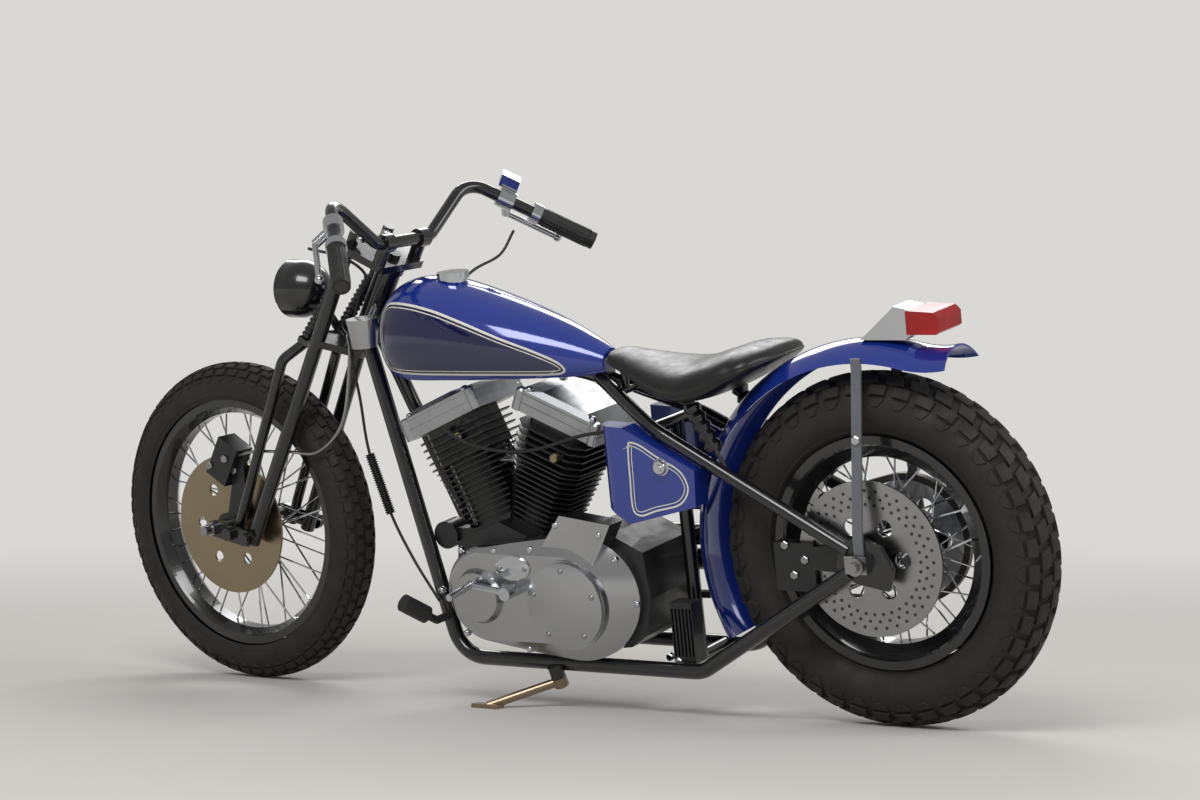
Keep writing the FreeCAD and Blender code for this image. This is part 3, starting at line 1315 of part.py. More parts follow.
def make_primary():
    inner = float(dim.caseLeft + dim.fitClearance)
    outer = float(dim.primaryOuter)
    front = vec(dim.primaryFrontX, 0, dim.primaryFrontZ)
    rear = vec(dim.primaryRearX, 0, dim.primaryRearZ)
    outline = belt_outline(front, float(dim.primaryFrontRadius), rear, float(dim.primaryRearRadius), inner)
    case = soften(Part.Face(outline).extrude(vec(0, outer - inner, 0)), outer, dim.primaryRound)
    case = case.common(crown_shape(outer + float(dim.primaryCrown)))
    boss = Part.makeCone(float(dim.bossRadius), float(dim.bossRadius - dim.bossHeight / 2), float(dim.bossHeight),
                         vec(dim.bossX, outer, dim.bossZ), vec(0, 1, 0))
    derby = vec(dim.derbyX, 0, dim.derbyZ)
    depth = float(dim.primaryCrown)
    seat = Part.makeCylinder(float(dim.derbySeatRadius), float(dim.derbySeatHeight) + depth, vec(derby.x, outer - depth, derby.z), vec(0, 1, 0))
    top = float(dim.chimneyTop)
    chimney = [(dim.chimneyFrontX, top), (dim.chimneyRearX, top - float(dim.chimneyDrop)),
               (dim.chimneyFootRearX, dim.chimneyFootZ), (dim.primaryRearX, dim.derbyZ), (dim.chimneyFootFrontX, dim.chimneyFootZ)]
    raised = plate([(float(a), float(b)) for a, b in chimney], inner, float(dim.chimneyOuter) - inner)
    feature("primary_cover", case.fuse([boss, seat, raised]), "frame")
    dome_seat = outer + float(dim.derbySeatHeight + dim.fitClearance)
    tall = float(dim.derbyHeight)
    radius = float(dim.derbyRadius)
    dome = domed_disc(radius, tall, tall * 0.6, vec(derby.x, dome_seat, derby.z), vec(0, 1, 0))
    feature("derby_cover", dome, "frame")


def make_right_side():
    inner = float(dim.caseRight + dim.fitClearance)
    outer = float(dim.camOuter)
    clutch = vec(dim.clutchX, 0, dim.clutchZ)
    outline = belt_outline(crank, float(dim.camRadius), clutch, float(dim.pulleyRadius), -outer)
    case = Part.Face(outline).extrude(vec(0, outer - inner, 0))
    feature("cam_cover", soften(case, -outer, dim.camRound), "frame")
    tubes = []
    for sign in (1, -1):
        for spread in (float(dim.pushrodSpread), -float(dim.pushrodSpread)):
            low = along_cylinder(sign, dim.camRadius * 0.8, spread, -dim.pushrodSide)
            high = along_cylinder(sign, dim.coverReach, spread, -dim.pushrodSide)
            tubes.append(bar(low, high, dim.pushrodRadius))
    solids = [case, head_shape(1), head_shape(-1), cylinder_shape(1), cylinder_shape(-1)]
    tubes = [max(carve(tube, *solids).Solids, key=lambda part: part.Volume) for tube in tubes]
    feature("pushrod_tubes", Part.makeCompound(tubes), "frame")
    rise = float(dim.crankZ + dim.carbRise)
    throat = Part.makeCylinder(float(dim.carbRadius), float(dim.carbOuter - dim.carbInner), vec(dim.crankX, -dim.carbOuter, rise), vec(0, 1, 0))
    manifold = Part.makeCylinder(float(dim.carbRadius) * 0.7, float(dim.carbInner), vec(dim.crankX, -dim.carbInner, rise), vec(0, 1, 0))
    arms = Part.makeCylinder(float(dim.carbRadius) * 0.7, float(dim.carbRadius) * 5, vec(dim.crankX - dim.carbRadius * 2.5, 0, rise), vec(1, 0, 0))
    carb = throat.fuse([manifold, arms]).cut([head_shape(1), head_shape(-1), cylinder_shape(1), cylinder_shape(-1), cover_shape(1), cover_shape(-1)])
    carb = max(carb.Solids, key=lambda part: part.Volume)
    feature("carburettor", carb, "frame")
    seat = float(dim.carbOuter + dim.fitClearance)
    drum = Part.makeCylinder(float(dim.cleanerRadius), float(dim.cleanerThickness), vec(dim.crankX, -seat - float(dim.cleanerThickness), rise), vec(0, 1, 0))
    feature("air_cleaner", drum, "frame")
    can = Part.makeCylinder(float(dim.filterRadius), float(dim.filterOuter - dim.filterInner), vec(dim.filterX, dim.filterInner, dim.filterZ), vec(0, 1, 0))
    boss = Part.makeBox(float(dim.filterX) - float(dim.crankX), float(dim.filterRadius), float(dim.filterRadius), vec(dim.crankX, dim.filterInner * 1.3, dim.filterZ - dim.filterRadius * 0.5))
    solid_case = plate(case_outline(), -float(dim.caseRight), float(dim.caseRight + dim.caseLeft))
    boss = boss.cut([solid_case, cylinder_shape(1)])
    boss = max(boss.Solids, key=lambda part: part.Volume)
    feature("oil_filter", can.fuse(boss), "frame")


define({
    "exhaustRadius": 22,  # exhaust pipes
    "exhaustSide": 152,  # exhaust pipes right of the centre line
    "exhaustLowZ": 262,  # lower run of the exhaust
    "exhaustPitch": 50,  # between the two pipes
    "exhaustEndX": 322,  # open end of the lower pipe
    "exhaustBend": 62,  # bends of the exhaust
    "exhaustWall": 2,  # wall at the open end
    "chainPinGap": 1,  # chain over the tips of the sprocket
    "chainDepth": 13,  # chain in its own plane
    "chainWidth": 15,  # chain over its side plates
    "gearRadius": 44,  # gearbox sprocket
    "pegRadius": 18,  # rubber of a foot peg
    "pegLength": 60,  # rubber of a foot peg
    "pegX": 952,  # foot pegs forward of the rear axle
    "pegZ": 192,  # foot pegs above the floor line
    "pegStemRadius": 8,  # stem of a foot peg
    "pegStemLength": 22,  # stem of a foot peg
    "pegTilt": 36,  # degrees that a folding peg is tipped up
    "pegSwing": 24,  # degrees that it is turned ahead
    "shiftX": 752,  # shift shaft
    "shiftZ": 265,  # shift shaft
    "shiftBossRadius": 13,  # clamp on the shift shaft
    "shiftGap": 6,  # shift lever clear of the round boss
    "shiftArm": 84,  # shift lever from shaft to toe piece
    "shiftRise": 12,  # toe piece above the shaft
    "shiftRodRadius": 7,  # shift lever
    "shiftToe": 76,  # toe piece
    "pedalLength": 108,  # pad of the brake pedal ahead of its pivot
    "pedalRise": 38,  # pad of the brake pedal above its pivot
    "regulatorX": 392,  # rear face of the regulator
    "regulatorLength": 48,  # regulator
    "regulatorInner": 54,  # inner face of the regulator
    "regulatorWidth": 36,  # regulator
    "regulatorHeight": 118,  # regulator
    "regulatorFins": 6,  # fins on the regulator
})


def exhaust_route(sign, low_z, end_x):
    # From a port on the head straight out to the right, down and back along the engine
    reach = dim.headReach + dim.exhaustRadius * 1.8
    port = along_cylinder(sign, reach, dim.headFinHalf - dim.exhaustRadius, -dim.headCoreHalf * 0.4)
    side = float(dim.exhaustSide)
    drop = float(dim.exhaustRadius)
    out = vec(port.x, -side * 0.65, port.z - drop)
    elbow = vec(port.x, -side, port.z - drop * 4)
    points = [port, out, elbow, vec(port.x, -side, low_z), vec(end_x, -side, low_z)]
    radii = []
    for index in range(1, len(points) - 1):
        back = points[index - 1] - points[index]
        ahead = points[index + 1] - points[index]
        half = back.getAngle(ahead) / 2
        radii.append(0.45 * min(back.Length, ahead.Length) * math.tan(half))
    return points, radii


def make_exhaust():
    # The front pipe runs under the rear one
    lower = float(dim.exhaustLowZ)
    upper = lower + float(dim.exhaustPitch)
    blockers = [head_shape(1), head_shape(-1), cover_shape(1), cover_shape(-1)]
    pipes = []
    for sign, low_z in ((1, lower), (-1, upper)):
        points, radii = exhaust_route(sign, low_z, float(dim.exhaustEndX))
        whole = pipe(points, radii, dim.exhaustRadius)
        mouth = bar(points[-1], points[-1] + vec(float(dim.exhaustRadius) * 4, 0, 0), dim.exhaustRadius - dim.exhaustWall)
        whole = whole.cut(blockers + [mouth])
        pipes.append(max(whole.Solids, key=lambda part: part.Volume))
    feature("exhaust_pipes", Part.makeCompound(pipes), "frame")


def make_chain():
    # Closed loop over the gearbox sprocket and the rear sprocket
    middle = float(dim.rearHubHalf + dim.sprocketThickness / 2)
    side = -middle - float(dim.chainWidth) / 2
    gear = vec(dim.clutchX - dim.gearRadius, 0, dim.clutchZ)
    rear_inner = float(dim.sprocketRadius + dim.chainPinGap)
    front_inner = float(dim.gearRadius)
    depth = float(dim.chainDepth)
    outer = Part.Face(belt_outline(gear, front_inner + depth, rear_centre, rear_inner + depth, side))
    inner = Part.Face(belt_outline(gear, front_inner, rear_centre, rear_inner, side))
    loop = outer.cut(inner).extrude(vec(0, dim.chainWidth, 0))
    outline = belt_outline(crank, float(dim.camRadius), vec(dim.clutchX, 0, dim.clutchZ), float(dim.pulleyRadius), -dim.camOuter)
    cover = Part.Face(outline).extrude(vec(0, dim.camOuter - dim.caseRight, 0))
    solid_case = plate(case_outline(), -float(dim.caseRight), float(dim.caseRight + dim.caseLeft))
    loop = loop.cut([cover, solid_case])
    loop = max(loop.Solids, key=lambda part: part.Volume)
    feature("drive_chain", loop, "frame")


def peg_stem_end():
    return float(dim.railSide + dim.downtubeRadius + dim.pegStemLength)


def make_pegs():
    inner = float(dim.railSide)
    stem_end = peg_stem_end()
    knuckle = vec(dim.pegX, stem_end + float(dim.pegStemRadius), dim.pegZ)
    stem = bar(vec(dim.pegX, inner, dim.pegZ), knuckle, dim.pegStemRadius)
    tilt = math.radians(dim.pegTilt)
    swing = math.radians(dim.pegSwing)
    out = vec(math.sin(swing) * math.cos(tilt), math.cos(swing) * math.cos(tilt), math.sin(tilt))
    root = knuckle + out * float(dim.pegRadius * 3 / 2)
    elbow = bar(knuckle, root + out * float(dim.pegRadius), dim.pegStemRadius)
    rubber = bar(root, root + out * float(dim.pegLength), dim.pegRadius)
    solid = stem.fuse([elbow, rubber]).cut(downtube_shape(1))
    solid = max(solid.Solids, key=lambda part: part.Volume)
    feature("foot_pegs", both_sides(solid), "frame")


def make_foot_controls():
    outer = float(dim.primaryOuter) + float(dim.fitClearance)
    arm_side = outer + float(dim.bossHeight + dim.shiftGap + dim.shiftRodRadius * 1.3)
    boss_end = arm_side + float(dim.shiftRodRadius) * 1.6
    shaft = vec(dim.shiftX, outer, dim.shiftZ)
    boss = bar(shaft, vec(dim.shiftX, boss_end, dim.shiftZ), dim.shiftBossRadius)
    elbow = vec(dim.shiftX + dim.shiftArm, arm_side, dim.shiftZ + dim.shiftRise)
    arm = bar(vec(dim.shiftX, arm_side, dim.shiftZ), elbow, dim.shiftRodRadius)
    toe = bar(elbow, elbow + vec(0, dim.shiftToe, -dim.shiftRise / 2), dim.shiftRodRadius)
    knuckle = Part.makeSphere(float(dim.shiftRodRadius) * 1.3, elbow)
    feature("shift_lever", boss.fuse([arm, toe, knuckle]), "frame")
    near = -float(dim.railSide)
    far = peg_stem_end() * -1 + float(dim.fitClearance)
    pivot = vec(dim.pegX, far + float(dim.shiftRodRadius), dim.pegZ)
    hub_shape = bar(vec(dim.pegX, near, dim.pegZ), vec(dim.pegX, far, dim.pegZ), dim.shiftBossRadius)
    pad_point = pivot + vec(dim.pedalLength, 0, dim.pedalRise)
    arm = bar(pivot, pad_point, dim.shiftRodRadius)
    pad_bar = bar(pad_point, pad_point + vec(0, -dim.shiftToe, 0), dim.shiftRodRadius * 1.4)
    stem = bar(vec(dim.pegX, near, dim.pegZ), vec(dim.pegX, far * 2, dim.pegZ), dim.pegStemRadius + dim.fitClearance)
    room = downtube_shape(-1, dim.downtubeRadius + dim.fitClearance)
    pedal = hub_shape.fuse([arm, pad_bar]).cut([stem, room])
    feature("brake_pedal", max(pedal.Solids, key=lambda part: part.Volume), "frame")


def make_regulator():
    seat = float(dim.railZ + dim.crossRadius + dim.fitClearance)
    base = vec(dim.regulatorX, dim.regulatorInner, seat)
    long = float(dim.regulatorLength)
    wide = float(dim.regulatorWidth)
    tall = float(dim.regulatorHeight)
    block = Part.makeBox(long, wide, tall, base)
    count = round(dim.regulatorFins.value)
    pitch = long / count
    grooves = [Part.makeBox(pitch * 0.5, wide * 0.5, tall * 0.8, base + vec((index + 0.25) * pitch, wide * 0.5, tall * 0.1))
               for index in range(count)]
    feature("regulator", block.cut(grooves), "frame")


define({
    "yokeThickness": 16,  # each fork yoke
    "yokeReachFront": 79,  # yoke ahead of the steering axis
    "yokeReachRear": 17,  # lower yoke behind the steering axis
    "upperYokeRear": 30,  # upper yoke behind the steering axis, under the risers
    "yokeHalfWidth": 84,  # yokes
    "yokeGap": 3,  # yoke from the head's cup
    "rearLegRadius": 15,  # rigid legs of the fork
    "rearLegTopReach": 66,  # rigid legs ahead of the axis at the upper yoke
    "rearLegFootReach": 34,  # rigid legs ahead of the axis at the rockers
    "rearLegTopSide": 66,  # rigid legs at the upper yoke
    "rearLegFootSide": 83,  # rigid legs at the rockers
    "rockerRearDrop": 588,  # rear pivot of the rockers down the axis
    "rockerMidDrop": 604,  # spring leg pivot down the axis
    "rockerMidReach": 78,  # spring leg pivot ahead of the axis
    "springLegRadius": 11,  # front legs of the fork
    "springLegKneeDrop": 204,  # bend at the top of the front legs
    "springLegKneeReach": 116,  # bend at the top of the front legs
    "crownDrop": 158,  # crown of the front legs down the axis
    "crownReach": 100,  # crown of the front legs ahead of the axis
    "crownThickness": 12,  # crown of the front legs
    "springSide": 50,  # fork springs from the middle
    "springRadius": 14,  # fork springs over their coils
    "springTopDrop": 0,  # upper end of the fork springs down the axis
    "springTopReach": 72,  # upper end of the fork springs ahead of the axis
    "springCoils": 12,  # coils that show
    "springRodRadius": 7,  # rods through the fork springs
    "domeRadius": 12,  # domed nuts on the upper yoke
    "rockerSide": 99,  # inner face of a rocker
    "rockerThickness": 10,  # rockers
    "rockerEndRadius": 17,  # eyes of the rockers
    "pivotRadius": 8,  # pivot pins of the rockers
    "pivotNutRadius": 13,  # caps on the pivot pins
    "pivotNutLength": 12,  # caps on the pivot pins
    "frontAxleHalf": 140,  # front axle from the middle
    "frontNutRadius": 14,  # nut and spacer of the front axle
    "frontCaliperReach": 176,  # front caliper ahead of the steering axis
    "frontCaliperDrop": 490,  # front caliper down the steering axis
    "frontCaliperLength": 88,  # front caliper along the fork
    "frontCaliperDepth": 58,  # front caliper across the fork
    "frontCaliperInner": 40,  # inner face of the front caliper
    "frontCaliperOuter": 88,  # outer face of the front caliper
    "lampReach": 176,  # headlamp ahead of the steering axis
    "lampDrop": 82,  # headlamp down the steering axis
    "lampRadius": 60,  # headlamp
    "lampLength": 104,  # headlamp
    "lampLensDepth": 12,  # glass of the headlamp
    "lampArmRadius": 9,  # arm of the headlamp
    "barRadius": 12.7,  # handlebar
    "barDrop": -140,  # middle of the handlebar down the axis
    "barReach": -10,  # middle of the handlebar ahead of the axis
    "barLowSide": 78,  # lower bend of the handlebar
    "barTopDrop": -226,  # upper bend of the handlebar
    "barTopReach": 40,  # upper bend of the handlebar
    "barTopSide": 205,  # upper bend of the handlebar
    "barEndDrop": -190,  # end of the handlebar
    "barEndReach": -186,  # end of the handlebar
    "barEndSide": 384,  # end of the handlebar
    "barLowBend": 48,  # lower bend of the handlebar
    "barTopBend": 52,  # upper bend of the handlebar
    "riserSide": 53,  # risers from the middle
    "riserRadius": 19,  # clamps of the risers
    "riserWidth": 26,  # clamps of the risers
    "gripRadius": 18,  # grips
    "gripLength": 122,  # grips
    "collarRadius": 21,  # collar inboard of a grip
    "collarLength": 20,  # collar inboard of a grip
    "perchRadius": 20,  # lever perch on the handlebar
    "perchLength": 34,  # lever perch on the handlebar
    "perchSetback": 42,  # lever perch inboard of the collar
    "leverLength": 118,  # brake and clutch levers
    "leverRadius": 6,  # brake and clutch levers
    "leverBall": 9,  # ball on the end of a lever
    "leverDroop": 55,  # degrees that a lever is turned down round the bar
    "leverStandoff": 46,  # lever ahead of its grip
    "reservoirSize": 40,  # fluid reservoir on the right perch
    "reservoirHeight": 26,  # fluid reservoir on the right perch
})


# Rear edge of each yoke as a share of its half width
upper_rear_share = 0.72
lower_rear_share = 0.17


def yoke_shape(drop, thickness, reach_rear, rear_share):
    # Plate square to the steering axis, wide at the legs and narrower behind the stem
    front = float(dim.yokeReachFront)
    rear = -float(reach_rear)
    half = float(dim.yokeHalfWidth)
    outline = [(rear, -rear_share * half), (rear, rear_share * half), (0.55 * front, 0.96 * half), (0.84 * front, half),
               (front, 0.8 * half), (0.86 * front, 0.0), (front, -0.8 * half), (0.84 * front, -half), (0.55 * front, -0.96 * half)]
    points = [fork(drop, reach, side) for reach, side in outline]
    return Part.Face(Part.makePolygon(points + [points[0]])).extrude(axis_up * float(thickness))


def upper_yoke_drop():
    # Underside of the upper yoke
    return head_end(-1) - float(dim.yokeGap)


def lower_yoke_drop():
    # Underside of the lower yoke
    return head_end(1) + float(dim.yokeGap + dim.yokeThickness)


def rear_leg_shape(side):
    top = fork(upper_yoke_drop() - float(dim.yokeThickness) * 0.5, dim.rearLegTopReach, side * dim.rearLegTopSide)
    foot = fork(dim.rockerRearDrop + dim.rearLegRadius, dim.rearLegFootReach, side * dim.rearLegFootSide)
    return bar(top, foot, dim.rearLegRadius)


def spring_leg_shape(side):
    foot_side = side * float(dim.rearLegFootSide)
    points = [
        fork(dim.rockerMidDrop + dim.springLegRadius, dim.rockerMidReach, foot_side),
        fork(dim.springLegKneeDrop, dim.springLegKneeReach, foot_side),
        fork(dim.crownDrop, dim.crownReach, side * dim.springSide),
    ]
    return pipe(points, [dim.springLegRadius * 3], dim.springLegRadius)


def make_fork():
    legs = [rear_leg_shape(1), rear_leg_shape(-1)]
    upper = yoke_shape(upper_yoke_drop(), dim.yokeThickness, dim.upperYokeRear, upper_rear_share)
    lower = yoke_shape(lower_yoke_drop(), dim.yokeThickness, dim.yokeReachRear, lower_rear_share)
    stem = Part.makeCylinder(float(dim.stemRadius), lower_yoke_drop() - upper_yoke_drop() + float(dim.yokeThickness) * 1.6,
                             fork(lower_yoke_drop(), 0, 0), axis_up)
    yokes = upper.fuse([lower, stem]).cut(legs)
    riser_parts = []
    bar_drop = float(dim.barDrop)
    reach = float(dim.barReach)
    for side in (1, -1):
        middle = fork(bar_drop, reach, side * dim.riserSide)
        half = vec(0, dim.riserWidth / 2, 0)
        clamp = bar(middle - half, middle + half, dim.riserRadius)
        foot = bar(fork(upper_yoke_drop() - float(dim.yokeThickness), reach, side * dim.riserSide), middle, dim.riserRadius * 0.7)
        riser_parts.append(clamp.fuse(foot))
    hole = handlebar_shape(dim.barRadius + dim.fitClearance)
    risers = [part.cut(hole) for part in riser_parts]
    feature("fork_yokes", yokes.fuse(risers), "steering")
    pins = rocker_pins()
    feature("rigid_legs", Part.makeCompound([leg.cut(pins) for leg in legs]), "steering")
    crown_half = float(dim.springSide + dim.springRadius)
    crown_depth = float(dim.springLegRadius)
    outline = [(dim.crownReach - crown_depth, -crown_half), (dim.crownReach - crown_depth, crown_half),
               (dim.crownReach + crown_depth, crown_half), (dim.crownReach + crown_depth, -crown_half)]
    points = [fork(dim.crownDrop, float(a), float(b)) for a, b in outline]
    crown = Part.Face(Part.makePolygon(points + [points[0]])).extrude(axis_up * float(dim.crownThickness))
    spring_legs = crown.fuse([spring_leg_shape(1), spring_leg_shape(-1)]).cut(pins + legs)
    spring_legs = max(spring_legs.Solids, key=lambda part: part.Volume)
    feature("spring_legs", spring_legs, "steering")
    springs = []
    for side in (1, -1):
        low = fork(dim.crownDrop - dim.crownThickness - dim.fitClearance, dim.crownReach, side * dim.springSide)
        high = fork(dim.springTopDrop, dim.springTopReach, side * dim.springSide)
        coil = ribbed_rod(low, high, float(dim.springRadius), 0.72, round(dim.springCoils.value))
        along = (high - low).normalize()
        yoke_top = fork(upper_yoke_drop() - float(dim.yokeThickness), dim.springTopReach, side * dim.springSide)
        rod = bar(high, yoke_top, dim.springRodRadius)
        nut = bar(yoke_top, yoke_top + axis_up * float(dim.domeRadius) * 2, dim.domeRadius)
        springs.append(coil.fuse([rod, nut]).cut([yokes, crown] + legs))
    springs = [max(part.Solids, key=lambda piece: piece.Volume) for part in springs]
    feature("fork_springs", Part.makeCompound(springs), "steering")


def rocker_points():
    return [fork(dim.rockerRearDrop, dim.rearLegFootReach, 0), fork(dim.rockerMidDrop, dim.rockerMidReach, 0), front_centre]


def rocker_pins():
    # Pins through the legs and rockers, both sides
    pins = []
    outer = float(dim.rockerSide + dim.rockerThickness)
    inner = float(dim.rearLegFootSide - dim.rearLegRadius)
    for point in rocker_points()[:2]:
        for side in (1, -1):
            near = inner if side > 0 else -outer
            pins.append(Part.makeCylinder(float(dim.pivotRadius), outer - inner, point + vec(0, near, 0), vec(0, 1, 0)))
    return pins


def make_rockers():
    points = rocker_points()
    thick = float(dim.rockerThickness)
    radius = float(dim.rockerEndRadius)
    rockers = []
    for side in (1, -1):
        near = float(dim.rockerSide) if side > 0 else -float(dim.rockerSide) - thick
        parts = []
        for start, end in ((points[0], points[1]), (points[1], points[2])):
            outline = belt_outline(end, radius, start, radius * 0.98, near)
            parts.append(Part.Face(outline).extrude(vec(0, thick, 0)))
        arm = parts[0].fuse(parts[1])
        caps = []
        for point in points[:2]:
            seat = near + thick if side > 0 else near - float(dim.pivotNutLength)
            caps.append(Part.makeCylinder(float(dim.pivotNutRadius), float(dim.pivotNutLength), point + vec(0, seat, 0), vec(0, 1, 0)))
        pins = [pin for pin in rocker_pins() if pin.CenterOfMass.y * side > 0]
        arm = arm.fuse(caps + pins)
        hole = Part.makeCylinder(float(dim.axleRadius + dim.fitClearance), thick * 3, front_centre + vec(0, near - thick, 0), vec(0, 1, 0))
        rockers.append(arm.cut(hole))
    feature("rockers", Part.makeCompound(rockers), "steering")


def make_front_axle():
    half = float(dim.frontAxleHalf)
    across = vec(0, 1, 0)
    shaft = Part.makeCylinder(float(dim.axleRadius), 2 * half, front_centre - across * half, across)
    rocker_out = float(dim.rockerSide + dim.rockerThickness + dim.fitClearance)
    extras = []
    left_seat = float(dim.frontHubHalf + dim.frontDiscThickness + dim.fitClearance)
    right_seat = float(dim.frontHubHalf + dim.fitClearance)
    inner = float(dim.rockerSide - dim.fitClearance)
    extras.append(Part.makeCylinder(float(dim.frontNutRadius), inner - left_seat, front_centre + across * left_seat, across))
    extras.append(Part.makeCylinder(float(dim.frontNutRadius), inner - right_seat, front_centre - across * inner, across))
    nut = float(dim.pivotNutLength)
    extras.append(Part.makeCylinder(float(dim.frontNutRadius), nut, front_centre + across * rocker_out, across))
    extras.append(Part.makeCylinder(float(dim.frontNutRadius), nut, front_centre - across * (rocker_out + nut), across))
    feature("front_axle", shaft.fuse(extras), "steering")


def make_front_caliper():
    drop = float(dim.frontCaliperDrop)
    reach = float(dim.frontCaliperReach)
    half_long = float(dim.frontCaliperLength) / 2
    half_deep = float(dim.frontCaliperDepth) / 2
    inner = float(dim.frontCaliperInner)
    outer = float(dim.frontCaliperOuter)
    outline = [(drop - half_long, reach - half_deep), (drop + half_long, reach - half_deep),
               (drop + half_long, reach + half_deep), (drop - half_long, reach + half_deep)]
    points = [fork(a, b, inner) for a, b in outline]
    block = Part.Face(Part.makePolygon(points + [points[0]])).extrude(vec(0, outer - inner, 0))
    gap = float(dim.caliperGap)
    near = float(dim.frontHubHalf) - gap
    depth = float(dim.frontDiscThickness) + 2 * gap
    room = Part.makeCylinder(float(dim.frontDiscRadius) + gap, depth, front_centre + vec(0, near, 0), vec(0, 1, 0))
    web_inner = near + depth
    web = float(dim.bracketThickness)
    corner = [front_centre + vec(0, web_inner, 0), fork(drop + half_long * 0.6, reach - half_deep, web_inner), fork(drop - half_long, reach - half_deep, web_inner),
              fork(float(dim.rockerMidDrop - dim.caliperArmRise), float(dim.rockerMidReach), web_inner)]
    arm = Part.Face(Part.makePolygon([corner[0], corner[1], fork(drop - half_long * 0.2, reach, web_inner), corner[2], corner[3], corner[0]])).extrude(vec(0, web, 0))
    ring = Part.makeCylinder(float(dim.frontNutRadius) * 1.8, web, front_centre + vec(0, web_inner, 0), vec(0, 1, 0))
    hole = Part.makeCylinder(float(dim.frontNutRadius + dim.fitClearance), web * 3, front_centre + vec(0, web_inner - web, 0), vec(0, 1, 0))
    solid = block.fuse([arm, ring]).cut([room, hole, spring_leg_shape(1), rear_leg_shape(1)])
    solid = max(solid.Solids, key=lambda part: part.Volume)
    feature("front_caliper", solid, "steering")


def make_headlamp():
    centre = fork(dim.lampDrop, dim.lampReach, 0)
    radius = float(dim.lampRadius)
    half = float(dim.lampLength) / 2
    lens = float(dim.lampLensDepth)
    shell = Part.Wire([
        Part.LineSegment(vec(-half, 0, 0), vec(half - lens, 0, 0)).toShape(),
        Part.LineSegment(vec(half - lens, 0, 0), vec(half - lens, 0, radius)).toShape(),
        Part.LineSegment(vec(half - lens, 0, radius), vec(half * 0.35, 0, radius)).toShape(),
        Part.Arc(vec(half * 0.35, 0, radius), vec(-half * 0.55, 0, radius * 0.72), vec(-half, 0, 0)).toShape(),
    ])
    body = Part.Face(shell).revolve(vec(0, 0, 0), vec(1, 0, 0), 360)
    body.translate(centre)
    arm = bar(fork(lower_yoke_drop() - float(dim.yokeThickness) / 2, dim.yokeReachFront * 0.6, 0), centre - vec(half * 0.3, 0, 0), dim.lampArmRadius)
    lower = yoke_shape(lower_yoke_drop(), dim.yokeThickness, dim.yokeReachRear, lower_rear_share)
    body = body.fuse(arm.cut(lower))
    body = max(body.cut([lower]).Solids, key=lambda part: part.Volume)
    feature("headlamp", body, "steering")
    glass_seat = centre + vec(half - lens + float(dim.fitClearance), 0, 0)
    dome = domed_disc(radius * 0.97, lens, lens * 0.8, glass_seat, vec(1, 0, 0))
    feature("headlamp_glass", dome, "steering")


def handlebar_points():
    left = [fork(dim.barEndDrop, dim.barEndReach, dim.barEndSide), fork(dim.barTopDrop, dim.barTopReach, dim.barTopSide),
            fork(dim.barDrop, dim.barReach, dim.barLowSide)]
    right = [vec(point.x, -point.y, point.z) for point in reversed(left)]
    return left + right


def handlebar_shape(radius):
    radii = [dim.barTopBend, dim.barLowBend, dim.barLowBend, dim.barTopBend]
    return pipe(handlebar_points(), radii, radius)


def make_handlebar():
    tube = handlebar_shape(dim.barRadius)
    feature("handlebar", tube, "steering")
    points = handlebar_points()
    end = points[0]
    along = (points[1] - end).normalize()
    core = bar(end, end + along * (float(dim.gripLength) * 3), dim.barRadius + dim.fitClearance)
    grip = bar(end, end + along * float(dim.gripLength), dim.gripRadius).cut(core)
    feature("grips", both_sides(grip), "steering")
    start = end + along * (float(dim.gripLength) + float(dim.fitClearance))
    collar = bar(start, start + along * float(dim.collarLength), dim.collarRadius)
    perch_start = start + along * float(dim.collarLength + dim.perchSetback)
    perch = bar(perch_start, perch_start + along * float(dim.perchLength), dim.perchRadius)
    level = along.cross(axis_up).normalize()
    ahead = level if level.dot(axis_ahead) > 0 else -level
    below = along.cross(ahead).normalize()
    below = -below if below.dot(axis_up) > 0 else below
    droop = math.radians(dim.leverDroop)
    reach = ahead * math.cos(droop) + below * math.sin(droop)
    elbow = perch_start + reach * float(dim.leverStandoff)
    stem = bar(perch_start + along * float(dim.perchLength / 2), elbow, dim.leverRadius * 1.6)
    tip = elbow - along * float(dim.leverLength)
    lever = bar(elbow, tip, dim.leverRadius)
    ball = Part.makeSphere(float(dim.leverBall), tip)
    left_set = perch.fuse([stem, lever, ball]).cut(core)
    size = float(dim.reservoirSize)
    up = axis_up * float(dim.reservoirHeight)
    corner = perch_start + axis_up * float(dim.perchRadius) * 0.9 + ahead * (float(dim.perchRadius) * 0.4)
    box_points = [corner, corner + along * size, corner + along * size + ahead * size * 0.7, corner + ahead * size * 0.7]
    box = Part.Face(Part.makePolygon(box_points + [box_points[0]])).extrude(up)
    right_set = mirrored(perch.fuse([stem, lever, ball, box]).cut(core))
    left_collar = collar.cut(core)
    feature("hand_controls", Part.makeCompound([left_set, right_set, left_collar, mirrored(left_collar)]), "steering")


